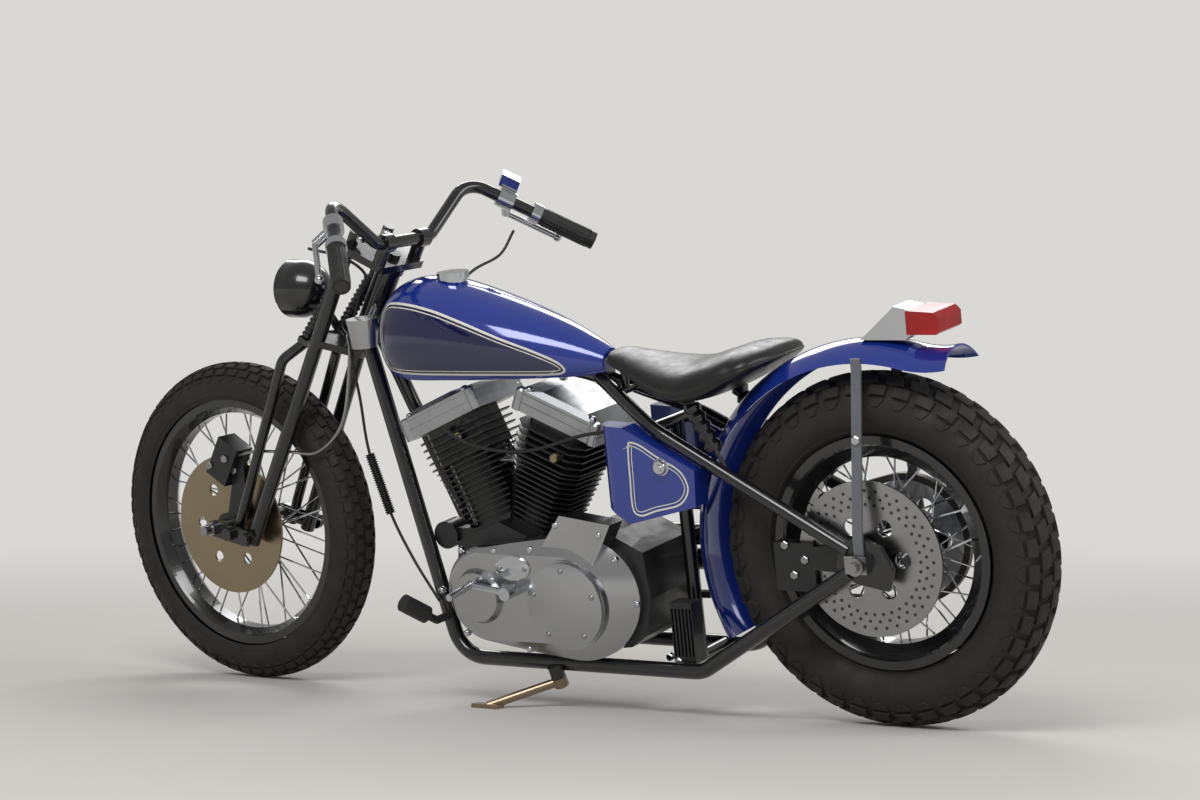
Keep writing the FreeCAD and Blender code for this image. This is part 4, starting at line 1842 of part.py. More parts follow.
define({
    "leadRadius": 3.5,  # spark lead
    "leadStartX": 911,  # its start at the front plug
    "leadStartZ": 572,
    "leadEndX": 545.3,  # its end at the coil behind the left box
    "leadSide": 96,  # its least distance from the middle plane
    "leadBow": 21,  # how far it bows out past that
    "leadDip": 41,  # how far it hangs below its start
    "plugCapRadius": 8,  # cap on the spark plug
    "gaugeX": 1096,  # cup gauge beside the steering head
    "gaugeZ": 732,  # foot of the cup gauge
    "gaugeSide": 92,  # cup gauge from the centre line
    "gaugeRadius": 26,  # cup gauge
    "gaugeRim": 32,  # bezel of the cup gauge
    "gaugeHeight": 58,  # cup gauge
    "gaugeArmRadius": 6,  # arm of the cup gauge
    "standPivotX": 694,  # pivot of the side stand
    "standPivotSide": 114,  # pivot of the side stand
    "standPivotZ": 74,  # pivot of the side stand
    "standFootX": 809,  # foot of the side stand
    "standFootSide": 205,  # foot of the side stand
    "standLegRadius": 9,  # leg of the side stand
    "standPinRadius": 7,  # pivot pin of the side stand
    "standEyeRadius": 15,  # eye of the side stand
    "standEyeHeight": 20,  # eye of the side stand
    "standPadLength": 60,  # foot of the side stand
    "standCutReach": 120,  # what lies under the floor is cut off this far around the foot
    "standPadWidth": 26,  # foot of the side stand
    "standPadHeight": 8,  # foot of the side stand
    "standStowX": -190,  # stowed leg from its pivot, forward
    "standStowSide": 40,  # stowed leg from its pivot, to the left
    "standStowZ": 2,  # stowed leg from its pivot, up
    "standLugWidth": 34,  # lug under the bottom rail
})


def make_gauge():
    centre = vec(dim.gaugeX, dim.gaugeSide, dim.gaugeZ)
    cup = Part.makeCone(float(dim.gaugeRadius), float(dim.gaugeRim), float(dim.gaugeHeight), centre, vec(0, 0, 1))
    arm_end = fork(0, 0, 0)
    arm = bar(centre + vec(0, 0, dim.gaugeHeight / 2), arm_end, dim.gaugeArmRadius)
    feature("gauge", cup.fuse(arm.cut(head_solid())), "frame")


def stand_points():
    pivot = vec(dim.standPivotX, dim.standPivotSide, dim.standPivotZ)
    foot = vec(dim.standFootX, dim.standFootSide, float(dim.standFootSide) * math.tan(lean))
    deployed = foot - pivot
    stowed = vec(dim.standStowX, dim.standStowSide, dim.standStowZ)
    hinge = deployed.cross(stowed).normalize()
    return pivot, foot, hinge, deployed.getAngle(stowed)


def stand_lug_shape():
    # Post under the left rail that ends in the pin of the stand
    pivot, foot, hinge, fold = stand_points()
    eye_half = float(dim.standEyeHeight) / 2
    lug_top = pivot + hinge * (eye_half + float(dim.fitClearance))
    pin = Part.makeCylinder(float(dim.standPinRadius), float(dim.railZ - dim.standPivotZ) + eye_half, pivot - hinge * eye_half, hinge)
    post = Part.makeCylinder(float(dim.standEyeRadius), float(dim.railZ) - lug_top.z, lug_top, hinge)
    return pin.fuse(post)


def make_side_stand():
    pivot, foot, hinge, fold = stand_points()
    eye_half = float(dim.standEyeHeight) / 2
    eye = Part.makeCylinder(float(dim.standEyeRadius), 2 * eye_half, pivot - hinge * eye_half, hinge)
    floor_up = vec(0, -math.sin(lean), math.cos(lean))
    leg_end = foot + floor_up * (float(dim.standPadHeight) / 2)
    leg = bar(pivot, leg_end, dim.standLegRadius)
    pad = Part.makeBox(float(dim.standPadLength), float(dim.standPadWidth), float(dim.standPadHeight),
                       vec(-dim.standPadLength / 2, -dim.standPadWidth / 2, 0))
    pad.Placement = FreeCAD.Placement(foot, FreeCAD.Rotation(vec(1, 0, 0), float(dim.leanAngle)))
    reach = float(dim.standCutReach)
    below = Part.makeBox(2 * reach, 2 * reach, reach, vec(-reach, -reach, -reach))
    below.Placement = FreeCAD.Placement(foot, FreeCAD.Rotation(vec(1, 0, 0), float(dim.leanAngle)))
    bore = Part.makeCylinder(float(dim.standPinRadius + dim.fitClearance), 4 * eye_half, pivot - hinge * (2 * eye_half), hinge)
    feature("side_stand", eye.fuse([leg, pad]).cut([bore, below]), "side_stand")


# The plug's cap past the start of its lead, as a share of its length
plug_cap_share = 0.4

# The lead from the front head's plug to the coil behind the left box: shares of its run, its bow and its dip
lead_shares = [
    (0.000, 0.000, 0.000), (0.030, 0.571, 0.244), (0.167, 0.857, 0.707), (0.331, 1.000, 0.951), (0.481, 0.952, 1.000),
    (0.632, 0.857, 0.805), (0.768, 0.619, 0.439), (0.878, 0.381, 0.171), (1.000, 0.095, 0.024),
]


def make_spark_leads():
    run = dim.leadStartX - dim.leadEndX
    points = [vec(dim.leadStartX - run * along, dim.leadSide + dim.leadBow * out, dim.leadStartZ - dim.leadDip * down)
              for along, out, down in lead_shares]
    cap_end = vec(points[0].x, float(dim.headFinHalf) + float(dim.fitClearance), points[0].z)
    cap = bar(cap_end, points[0] + (points[0] - cap_end) * plug_cap_share, dim.plugCapRadius)
    feature("spark_leads", cord(points, dim.leadRadius).fuse(cap), "frame")


def build_all():
    make_frame()
    make_rear_axle()
    make_rear_fender()
    make_tail_lamp()
    make_rear_caliper()
    make_side_boxes()
    make_tank()
    make_seat()
    make_crankcase()
    make_top_end()
    make_primary()
    make_right_side()
    make_exhaust()
    make_chain()
    make_pegs()
    make_foot_controls()
    make_regulator()
    make_fork()
    make_rockers()
    make_front_axle()
    make_front_caliper()
    make_headlamp()
    make_handlebar()
    make_gauge()
    make_spark_leads()
    make_side_stand()


build_all()
def lean_over():
    # Turns the fork about its axis, leans everything and sets the origin under the middle
    leaned = FreeCAD.Placement(vec(0, 0, 0), FreeCAD.Rotation(vec(1, 0, 0), -float(dim.leanAngle)))
    steered = FreeCAD.Placement(vec(0, 0, 0), FreeCAD.Rotation(axis_up, float(dim.steerAngle)), head)
    box = FreeCAD.BoundBox()
    for thing, place, group in pieces.values():
        fork_turn = steered if group in ("steering", "front_wheel") else FreeCAD.Placement()
        thing.Placement = leaned * fork_turn * place
        box.add(thing.Shape.optimalBoundingBox(False, False))
    shift = move(vec(-box.Center.x, -box.Center.y, -box.ZMin))
    for thing, place, group in pieces.values():
        thing.Placement = shift * thing.Placement
    return shift * leaned, shift * leaned * steered


def check_and_write():
    doc.recompute()
    for thing in doc.Objects:
        if "Invalid" in thing.State or "Error" in thing.State:
            raise RuntimeError("%s did not compute: %s" % (thing.Name, thing.State))
    for name, (thing, place, group) in pieces.items():
        if thing.Shape.isNull() or not thing.Shape.isValid() or thing.Shape.Volume <= 0:
            raise RuntimeError("%s has no sound shape" % name)
    os.makedirs("parts", exist_ok=True)
    for name, (thing, place, group) in pieces.items():
        thing.Shape.exportStep("parts/%s.step" % name)


doc.recompute()
frame_place, fork_place = lean_over()
check_and_write()
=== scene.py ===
import bpy
import bmesh
import math
import json
import numpy as np
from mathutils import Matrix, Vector


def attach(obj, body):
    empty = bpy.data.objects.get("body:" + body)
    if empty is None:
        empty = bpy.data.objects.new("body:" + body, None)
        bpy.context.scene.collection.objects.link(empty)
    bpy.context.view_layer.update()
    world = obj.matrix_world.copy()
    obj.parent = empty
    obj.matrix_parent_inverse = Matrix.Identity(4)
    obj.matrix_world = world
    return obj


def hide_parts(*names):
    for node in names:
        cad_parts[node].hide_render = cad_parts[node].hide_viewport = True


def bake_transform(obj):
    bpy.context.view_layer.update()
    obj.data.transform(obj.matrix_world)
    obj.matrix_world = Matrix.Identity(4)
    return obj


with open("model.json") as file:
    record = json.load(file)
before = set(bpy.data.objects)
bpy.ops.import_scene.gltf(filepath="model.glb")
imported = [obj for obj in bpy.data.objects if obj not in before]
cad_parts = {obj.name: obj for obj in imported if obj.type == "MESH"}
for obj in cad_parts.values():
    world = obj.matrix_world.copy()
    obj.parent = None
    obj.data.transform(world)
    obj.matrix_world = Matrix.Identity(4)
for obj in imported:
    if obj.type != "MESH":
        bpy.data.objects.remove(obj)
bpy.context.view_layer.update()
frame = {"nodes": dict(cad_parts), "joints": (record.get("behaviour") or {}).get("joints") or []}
nodes = frame["nodes"]
joints = {joint["name"]: joint for joint in frame["joints"]}
print("frame loaded:", len(nodes), "nodes")

# The upright machine has its rear axle over the origin, X ahead, Y left and Z up, in millimetres
attitude = {
    "lean": 10.5,            # degrees to the left, on the stand
    "steer": -5.9,           # degrees about the steering axis
    "rake": 30.0,            # degrees of the steering axis behind the vertical
    "headX": 1117.0,
    "headZ": 815.0,
}
leanAngle = math.radians(attitude["lean"])
rakeAngle = math.radians(attitude["rake"])
rearRow = 1000 * np.array(joints["rear_wheel_spin"]["pos_m"])
leanTurn = np.array([[1, 0, 0], [0, math.cos(leanAngle), math.sin(leanAngle)],
                     [0, -math.sin(leanAngle), math.cos(leanAngle)]])
rowShift = rearRow - leanTurn @ np.array([0, 0, rearRow[2] / math.cos(leanAngle)])
axisUp = np.array([-math.sin(rakeAngle), 0, math.cos(rakeAngle)])
headPoint = np.array([attitude["headX"], 0, attitude["headZ"]])


def turnAbout(axis, angle):
    # Rodrigues: identity + sin times the cross matrix + (1 - cos) times its square
    axis = np.array(axis) / np.linalg.norm(axis)
    cross = np.array([[0, -axis[2], axis[1]], [axis[2], 0, -axis[0]], [-axis[1], axis[0], 0]])
    return np.eye(3) + math.sin(angle) * cross + (1 - math.cos(angle)) * cross @ cross


steerTurn = turnAbout(axisUp, math.radians(attitude["steer"]))


def toRow(points):
    # Upright machine in millimetres to the leaned machine in metres
    return (np.asarray(points, float) @ leanTurn.T + rowShift) / 1000


def toRowSteered(points):
    # The same for what turns with the fork
    return toRow((np.asarray(points, float) - headPoint) @ steerTurn.T + headPoint)


camera = {
    "place": (-2795.2, 5358.0, 756.8),   # on the upright machine's ground axes, in millimetres
    "yaw": -57.01, "pitch": -1.42,       # degrees
    "lens": 96.8, "sensor": 36.0,        # millimetres
    "clipEnd": 60,                       # metres
}


def makeCamera():
    yaw = math.radians(camera["yaw"])
    pitch = math.radians(camera["pitch"])
    look = Vector((math.cos(yaw) * math.cos(pitch), math.sin(yaw) * math.cos(pitch), math.sin(pitch)))
    data = bpy.data.cameras.new("camera")
    data.lens = camera["lens"]
    data.sensor_width = camera["sensor"]
    data.sensor_fit = "HORIZONTAL"
    data.clip_end = camera["clipEnd"]
    seen = bpy.data.objects.new("camera", data)
    bpy.context.scene.collection.objects.link(seen)
    seen.location = (np.array(camera["place"]) + rowShift * np.array([1, 1, 0])) / 1000
    seen.rotation_euler = look.to_track_quat("-Z", "Y").to_euler()
    bpy.context.scene.camera = seen


studio = {
    "floor": "#c9c7c3", "wall": "#d9d8d5",
    "floorHalf": 30.0, "floorRoughness": 0.9,
    "fadeStart": 1.6, "fadeEnd": 5.0,                # metres from the middle, from floor to backdrop
    "worldStrength": 0.55, "backdropStrength": 1.0,
    "lampSize": 3.2, "lampShare": 0.6,               # metres, and height over width
    "lamps": {                                       # place, aim and watts
        "key": ((-1.2, 3.6, 4.2), (0, 0, 0.4), 150),
        "fill": ((-4.2, -0.6, 2.6), (0, 0, 0.4), 70),
        "rim": ((2.2, -3.4, 3.6), (0, 0, 0.5), 90),
    },
}


def srgb(text, alpha=1.0):
    # Hex sRGB to linear: divide by 12.92 near black, else the 2.4 power law
    parts = [int(text[i:i + 2], 16) / 255 for i in (1, 3, 5)]
    return tuple(p / 12.92 if p <= 0.04045 else ((p + 0.055) / 1.055) ** 2.4 for p in parts) + (alpha,)


def node(tree, kind, links=None, **settings):
    # Adds a node, sets what it is given and links or fills its inputs
    made = tree.nodes.new(kind)
    for key, value in settings.items():
        setattr(made, key, value)
    for key, value in (links or {}).items():
        socket = made.inputs[key]
        if isinstance(value, bpy.types.NodeSocket):
            tree.links.new(value, socket)
        else:
            socket.default_value = value
    return made


def areaLamp(name, place, aim, power):
    data = bpy.data.lights.new(name, "AREA")
    data.shape = "RECTANGLE"
    data.size = studio["lampSize"]
    data.size_y = studio["lampSize"] * studio["lampShare"]
    data.energy = power
    lamp = bpy.data.objects.new(name, data)
    bpy.context.scene.collection.objects.link(lamp)
    lamp.location = place
    lamp.rotation_euler = (Vector(aim) - Vector(place)).to_track_quat("-Z", "Y").to_euler()


def plainMaterial(name, colour, roughness):
    made = bpy.data.materials.new(name)
    made.use_nodes = True
    shader = made.node_tree.nodes["Principled BSDF"]
    shader.inputs["Base Color"].default_value = srgb(colour)
    shader.inputs["Roughness"].default_value = roughness
    return made


def fadingFloor():
    # Matt paper floor that passes into the backdrop's own colour with distance, so no horizon shows
    made = plainMaterial("studio floor", studio["floor"], studio["floorRoughness"])
    tree = made.node_tree
    shader, output = tree.nodes["Principled BSDF"], tree.nodes["Material Output"]
    where = node(tree, "ShaderNodeTexCoord")
    away = node(tree, "ShaderNodeVectorMath", {0: where.outputs["Object"]}, operation="LENGTH")
    fade = node(tree, "ShaderNodeMapRange", {
        "Value": away.outputs["Value"], "From Min": studio["fadeStart"], "From Max": studio["fadeEnd"],
    }, interpolation_type="SMOOTHSTEP")
    glow = node(tree, "ShaderNodeEmission", {"Color": srgb(studio["wall"]), "Strength": studio["backdropStrength"]})
    mix = node(tree, "ShaderNodeMixShader", {
        0: fade.outputs["Result"], 1: shader.outputs["BSDF"], 2: glow.outputs["Emission"]})
    tree.links.new(mix.outputs["Shader"], output.inputs["Surface"])
    return made


def makeStudio():
    scene = bpy.context.scene
    scene.view_settings.view_transform = "Standard"
    world = bpy.data.worlds.new("studio")
    scene.world = world
    world.use_nodes = True
    back = world.node_tree.nodes["Background"]
    back.inputs["Color"].default_value = srgb(studio["wall"])
    seen = node(world.node_tree, "ShaderNodeLightPath")
    level = node(world.node_tree, "ShaderNodeMapRange", {
        "Value": seen.outputs["Is Camera Ray"], "To Min": studio["worldStrength"], "To Max": studio["backdropStrength"]})
    world.node_tree.links.new(level.outputs["Result"], back.inputs["Strength"])
    half = studio["floorHalf"]
    mesh = bpy.data.meshes.new("floor")
    mesh.from_pydata([(-half, -half, 0), (half, -half, 0), (half, half, 0), (-half, half, 0)], [], [(0, 1, 2, 3)])
    floor = bpy.data.objects.new("floor", mesh)
    scene.collection.objects.link(floor)
    floor.data.materials.append(fadingFloor())
    for name, (place, aim, power) in studio["lamps"].items():
        areaLamp(name, place, aim, power)


makeCamera()
makeStudio()
print("camera and light set")

# Finishes: each dictionary is one real surface
finishes = {
    "blackEnamel": {        # sprayed gloss enamel on steel tube: deep black, faint orange peel under a clear coat
        "colour": "#0b0b0d", "second": "#131316", "roughness": 0.22, "metallic": 0.0, "coat": 0.7,
        "grain": 1.6, "bump": 0.006},
    "blackPowderCoat": {    # powder coat on castings: black with a fine texture and a soft sheen
        "colour": "#101012", "second": "#1a1a1c", "roughness": 0.42, "metallic": 0.0, "coat": 0.15,
        "grain": 0.9, "bump": 0.05},
    "blueEnamel": {         # royal blue enamel, polished: mirror-like with a little depth
        "colour": "#172d84", "second": "#1b3594", "roughness": 0.12, "metallic": 0.15, "coat": 1.0,
        "grain": 2.4, "bump": 0.003},
    "navyEnamel": {         # the darker panel colour under the same clear coat
        "colour": "#0f123c", "second": "#121646", "roughness": 0.12, "metallic": 0.1, "coat": 1.0,
        "grain": 2.4, "bump": 0.003},
    "creamPaint": {         # hand-pulled lining enamel: warm white with a slight unevenness
        "colour": "#e0ded4", "second": "#d3d1c6", "roughness": 0.35, "metallic": 0.0, "coat": 0.3,
        "grain": 3.0, "bump": 0.004},
    "greyPrimer": {         # painted steel strip, flat grey
        "colour": "#6d7075", "second": "#7a7d82", "roughness": 0.38, "metallic": 0.6, "coat": 0.0,
        "grain": 1.2, "bump": 0.02},
    "chromePlate": {        # bright chromium plate: near mirror, cool white
        "colour": "#c9cbcf", "second": "#bfc1c6", "roughness": 0.08, "metallic": 1.0, "coat": 0.0,
        "grain": 5.0, "bump": 0.003},
    "polishedAluminium": {  # buffed castings: bright with faint swirls and cloudy patches
        "colour": "#bcbdbf", "second": "#9fa0a3", "roughness": 0.2, "metallic": 1.0, "coat": 0.0,
        "grain": 9.0, "bump": 0.02},
    "satinAluminium": {     # bead-blasted castings, silver-painted look
        "colour": "#b4b6b9", "second": "#a5a7aa", "roughness": 0.36, "metallic": 1.0, "coat": 0.0,
        "grain": 0.8, "bump": 0.03},
    "brushedSteel": {       # ground stainless disc
        "colour": "#a9a9aa", "second": "#949495", "roughness": 0.26, "metallic": 1.0, "coat": 0.0,
        "grain": 1.4, "bump": 0.02},
    "bronzeDisc": {         # front disc, warmed brown by heat and pads
        "colour": "#8d8069", "second": "#a3967c", "roughness": 0.32, "metallic": 1.0, "coat": 0.0,
        "grain": 2.2, "bump": 0.02},
    "chainSteel": {         # oiled roller chain
        "colour": "#57544f", "second": "#3a3835", "roughness": 0.38, "metallic": 1.0, "coat": 0.0,
        "grain": 2.0, "bump": 0.03},
    "tyreRubber": {         # vulcanised rubber: dark grey-brown, dull, dusty on top of the blocks
        "colour": "#191715", "second": "#262320", "roughness": 0.72, "metallic": 0.0, "coat": 0.0,
        "grain": 1.3, "bump": 0.12},
    "gripRubber": {         # moulded soft rubber, satin
        "colour": "#141414", "second": "#1d1d1d", "roughness": 0.5, "metallic": 0.0, "coat": 0.0,
        "grain": 0.9, "bump": 0.06},
    "heatedSteel": {        # stand leg browned by the exhaust's heat
        "colour": "#8a7358", "second": "#a79a88", "roughness": 0.3, "metallic": 1.0, "coat": 0.0,
        "grain": 6.0, "bump": 0.03},
}


# What all finishes share: noise sizes and the swing of the roughness
texture = {
    "broadShare": 30, "broadDetail": 3.0, "fineDetail": 2.0, "bumpStrength": 0.6, "coatRoughness": 0.04,
    "noiseLow": 0.3, "noiseHigh": 0.7, "smoother": 0.8, "rougher": 1.25,
}


def makeFinish(name):
    # Noise in two sizes mixes the colours and moves the roughness; a finer one is the bump
    values = finishes[name]
    made = bpy.data.materials.new(name)
    made.use_nodes = True
    tree = made.node_tree
    shader = tree.nodes["Principled BSDF"]
    where = node(tree, "ShaderNodeTexCoord")
    perMetre = 1000 / values["grain"]
    broad = node(tree, "ShaderNodeTexNoise", {
        "Vector": where.outputs["Object"], "Scale": perMetre / texture["broadShare"], "Detail": texture["broadDetail"]})
    fine = node(tree, "ShaderNodeTexNoise", {
        "Vector": where.outputs["Object"], "Scale": perMetre, "Detail": texture["fineDetail"]})
    mix = node(tree, "ShaderNodeMix", {
        "Factor": broad.outputs["Fac"], "A": srgb(values["colour"]), "B": srgb(values["second"])}, data_type="RGBA")
    tree.links.new(mix.outputs["Result"], shader.inputs["Base Color"])
    swing = node(tree, "ShaderNodeMapRange", {
        "Value": broad.outputs["Fac"], "From Min": texture["noiseLow"], "From Max": texture["noiseHigh"],
        "To Min": values["roughness"] * texture["smoother"], "To Max": values["roughness"] * texture["rougher"]})
    tree.links.new(swing.outputs["Result"], shader.inputs["Roughness"])
    bump = node(tree, "ShaderNodeBump", {
        "Height": fine.outputs["Fac"], "Strength": texture["bumpStrength"], "Distance": values["bump"] / 1000})
    tree.links.new(bump.outputs["Normal"], shader.inputs["Normal"])
    shader.inputs["Metallic"].default_value = values["metallic"]
    shader.inputs["Coat Weight"].default_value = values["coat"]
    shader.inputs["Coat Roughness"].default_value = texture["coatRoughness"]
    return made


materials = {name: makeFinish(name) for name in finishes}


def makeLeather():
    # Full-grain saddle leather: fine pebbles in millimetres over soft folds, shinier where it is worn smooth
    values = {
        "colour": "#0d0d0e", "second": "#1b1a1a", "pebble": 1.6, "creaseShare": 14, "creaseDetail": 5.0,
        "smooth": 0.27, "rough": 0.42, "pebbleStrength": 0.5, "pebbleDepth": 0.22, "foldStrength": 0.4, "foldDepth": 1.2,
    }
    made = bpy.data.materials.new("saddleLeather")
    made.use_nodes = True
    tree = made.node_tree
    shader = tree.nodes["Principled BSDF"]
    where = node(tree, "ShaderNodeTexCoord")
    perMetre = 1000 / values["pebble"]
    pebbles = node(tree, "ShaderNodeTexVoronoi", {
        "Vector": where.outputs["Object"], "Scale": perMetre}, feature="DISTANCE_TO_EDGE")
    creases = node(tree, "ShaderNodeTexNoise", {
        "Vector": where.outputs["Object"], "Scale": perMetre / values["creaseShare"], "Detail": values["creaseDetail"]})
    mix = node(tree, "ShaderNodeMix", {
        "Factor": creases.outputs["Fac"], "A": srgb(values["colour"]), "B": srgb(values["second"])}, data_type="RGBA")
    tree.links.new(mix.outputs["Result"], shader.inputs["Base Color"])
    swing = node(tree, "ShaderNodeMapRange", {
        "Value": creases.outputs["Fac"], "From Min": texture["noiseLow"], "From Max": texture["noiseHigh"],
        "To Min": values["smooth"], "To Max": values["rough"]})
    tree.links.new(swing.outputs["Result"], shader.inputs["Roughness"])
    grain = node(tree, "ShaderNodeBump", {
        "Height": pebbles.outputs["Distance"], "Strength": values["pebbleStrength"],
        "Distance": values["pebbleDepth"] / 1000})
    folds = node(tree, "ShaderNodeBump", {
        "Height": creases.outputs["Fac"], "Strength": values["foldStrength"],
        "Distance": values["foldDepth"] / 1000, "Normal": grain.outputs["Normal"]})
    tree.links.new(folds.outputs["Normal"], shader.inputs["Normal"])
    return made


# Both lenses are the same moulded plastic, with faint waves in the skin
lensSkin = {"index": 1.49, "perMetre": 260.0, "detail": 1.0, "strength": 0.2, "depth": 0.3}


def makeGlass(name, colour, roughness, weight):
    # Moulded lens plastic: tinted through its depth, with a clean outer skin
    made = bpy.data.materials.new(name)
    made.use_nodes = True
    shader = made.node_tree.nodes["Principled BSDF"]
    shader.inputs["Base Color"].default_value = srgb(colour)
    shader.inputs["Roughness"].default_value = roughness
    shader.inputs["Transmission Weight"].default_value = weight
    shader.inputs["IOR"].default_value = lensSkin["index"]
    tree = made.node_tree
    where = node(tree, "ShaderNodeTexCoord")
    waves = node(tree, "ShaderNodeTexNoise", {
        "Vector": where.outputs["Object"], "Scale": lensSkin["perMetre"], "Detail": lensSkin["detail"]})
    bump = node(tree, "ShaderNodeBump", {
        "Height": waves.outputs["Fac"], "Strength": lensSkin["strength"], "Distance": lensSkin["depth"] / 1000})
    tree.links.new(bump.outputs["Normal"], shader.inputs["Normal"])
    return made


materials["saddleLeather"] = makeLeather()
materials["redLens"] = makeGlass("redLens", "#c01018", 0.12, 0.55)
materials["clearLens"] = makeGlass("clearLens", "#e9ecf0", 0.08, 0.8)

# Which finish each CAD node gets
wears = {
    "blackEnamel": "steering_head backbone downtubes upper_stays seat_post axle_plates rigid_legs spring_legs "
                   "rockers fork_yokes fork_springs handlebar rear_rim front_rim seat_springs headlamp exhaust_pipes",
    "blackPowderCoat": "crankcase cylinders cylinder_heads oil_filter regulator rear_caliper front_caliper",
    "blueEnamel": "fuel_tank rear_fender side_boxes",
    "greyPrimer": "fender_stays",
    "tyreRubber": "front_tyre rear_tyre",
    "brushedSteel": "rear_disc rear_axle front_axle",
    "bronzeDisc": "front_disc",
    "chainSteel": "drive_chain",
    "heatedSteel": "side_stand",
    "chromePlate": "front_hub rear_hub fuel_cap hand_controls shift_lever brake_pedal pushrod_tubes tail_lamp "
                   "air_cleaner",
    "polishedAluminium": "rear_sprocket primary_cover derby_cover cam_cover carburettor gauge",
    "satinAluminium": "rocker_covers",
    "gripRubber": "foot_pegs grips spark_leads",
    "saddleLeather": "seat",
    "clearLens": "headlamp_glass",
    "redLens": "tail_lens",
}


def dressNodes():
    for finish, names in wears.items():
        for name in names.split():
            mesh = nodes[name].data
            mesh.materials.clear()
            mesh.materials.append(materials[finish])


dressNodes()
print("CAD nodes dressed")

# Shapes are pairs of arrays, points in upright-machine millimetres and quads; a quad may end in a doubled corner


def gridQuads(rows, columns, closeRows=False, closeColumns=False):
    # Quads between neighbouring lines of a rows by columns grid; a closed direction wraps to its first line
    lines, steps = rows if closeRows else rows - 1, columns if closeColumns else columns - 1
    a, b = np.meshgrid(np.arange(lines), np.arange(steps), indexing="ij")
    c, d = (a + 1) % rows, (b + 1) % columns
    return np.stack([a * columns + b, c * columns + b, c * columns + d, a * columns + d], -1).reshape(-1, 4)


def joined(shapes):
    # One shape from several: each one's quads count on from the points before it
    starts = np.cumsum([0] + [len(points) for points, quads in shapes[:-1]])
    together = np.concatenate([quads + start for (points, quads), start in zip(shapes, starts)])
    return np.concatenate([points for points, quads in shapes]), together


def turned(profile, sides):
    # Profile of (radius, height) swept round the height axis: (r cos a, r sin a, h), closed at both poles
    profile = np.asarray(profile, float)
    angle = 2 * np.pi * (np.arange(sides) + 0.5) / sides
    radius, height = profile[:, :1], np.repeat(profile[:, 1:], sides, 1)
    ring = np.stack([radius * np.cos(angle), radius * np.sin(angle), height], -1)
    quads = gridQuads(len(profile), sides, closeColumns=True)[:, ::-1]
    return ring.reshape(-1, 3), quads


def aimed(shape, place, along):
    # Carries a shape's height axis onto a direction, then to its place
    points, quads = shape
    along = np.asarray(along, float) / np.linalg.norm(along)
    guide = np.array([0, 0, 1.0]) if abs(along[2]) < 0.9 else np.array([1.0, 0, 0])
    across = np.cross(guide, along)
    across /= np.linalg.norm(across)
    basis = np.stack([across, np.cross(along, across), along])
    return points @ basis + np.asarray(place, float), quads


def smoothLine(points, count, closed=False):
    # Catmull-Rom: each span is the cubic through its two points whose end slopes join their neighbours
    points = np.asarray(points, float)
    spans = len(points) if closed else len(points) - 1
    t = np.linspace(0, spans, count, endpoint=not closed)
    k = np.minimum(t.astype(int), spans - 1)
    u = (t - k)[:, None]
    if closed:
        p0, p1, p2, p3 = (points[(k + step) % len(points)] for step in (-1, 0, 1, 2))
    else:
        padded = np.concatenate([2 * points[:1] - points[1:2], points, 2 * points[-1:] - points[-2:-1]])
        p0, p1, p2, p3 = (padded[k + step] for step in (0, 1, 2, 3))
    bend, twist = 2 * p0 - 5 * p1 + 4 * p2 - p3, 3 * p1 - p0 - 3 * p2 + p3
    return 0.5 * (2 * p1 + (p2 - p0) * u + bend * u ** 2 + twist * u ** 3)


def tubeAlong(path, radius, sides=10, closed=False, guide=(0, 0, 1)):
    # A circle carried along a path: p + r (cos a n + sin a b), with n square to the path and the guide
    # Open ends draw to a point
    path = np.asarray(path, float)
    slope = np.roll(path, -1, 0) - np.roll(path, 1, 0) if closed else np.gradient(path, axis=0)
    slope /= np.linalg.norm(slope, axis=1, keepdims=True)
    across = np.cross(slope, np.asarray(guide, float))
    across /= np.linalg.norm(across, axis=1, keepdims=True)
    up = np.cross(across, slope)
    angle = (2 * np.pi * np.arange(sides) / sides)[None, :, None]
    radii = np.broadcast_to(np.asarray(radius, float), (len(path),))[:, None, None]
    ring = path[:, None] + radii * (np.cos(angle) * across[:, None] + np.sin(angle) * up[:, None])
    if not closed:
        ring = np.concatenate([np.repeat(path[:1, None], sides, 1), ring, np.repeat(path[-1:, None], sides, 1)])
    return ring.reshape(-1, 3), gridQuads(len(ring), sides, closed, True)[:, ::-1]


merge = {"points": 2e-6, "edges": 1e-7}    # metres within which points are one, and edges are nothing


def addPiece(name, shape, finish, body, steered=False, sharp=None, replaced=(), closed=True):
    points, quads = shape
    mesh = bpy.data.meshes.new(name)
    mesh.from_pydata((toRowSteered(points) if steered else toRow(points)).tolist(), [], quads.tolist())
    work = bmesh.new()
    work.from_mesh(mesh)
    bmesh.ops.remove_doubles(work, verts=work.verts, dist=merge["points"])
    bmesh.ops.dissolve_degenerate(work, edges=work.edges, dist=merge["edges"])
    if closed:
        bmesh.ops.recalc_face_normals(work, faces=work.faces)
    work.to_mesh(mesh)
    work.free()
    mesh.shade_smooth()
    if sharp:
        mesh.set_sharp_from_angle(angle=math.radians(sharp))
    mesh.materials.append(materials[finish])
    piece = bpy.data.objects.new(name, mesh)
    bpy.context.scene.collection.objects.link(piece)
    if body:
        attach(piece, body)
    if replaced:
        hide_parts(*replaced)
    return piece


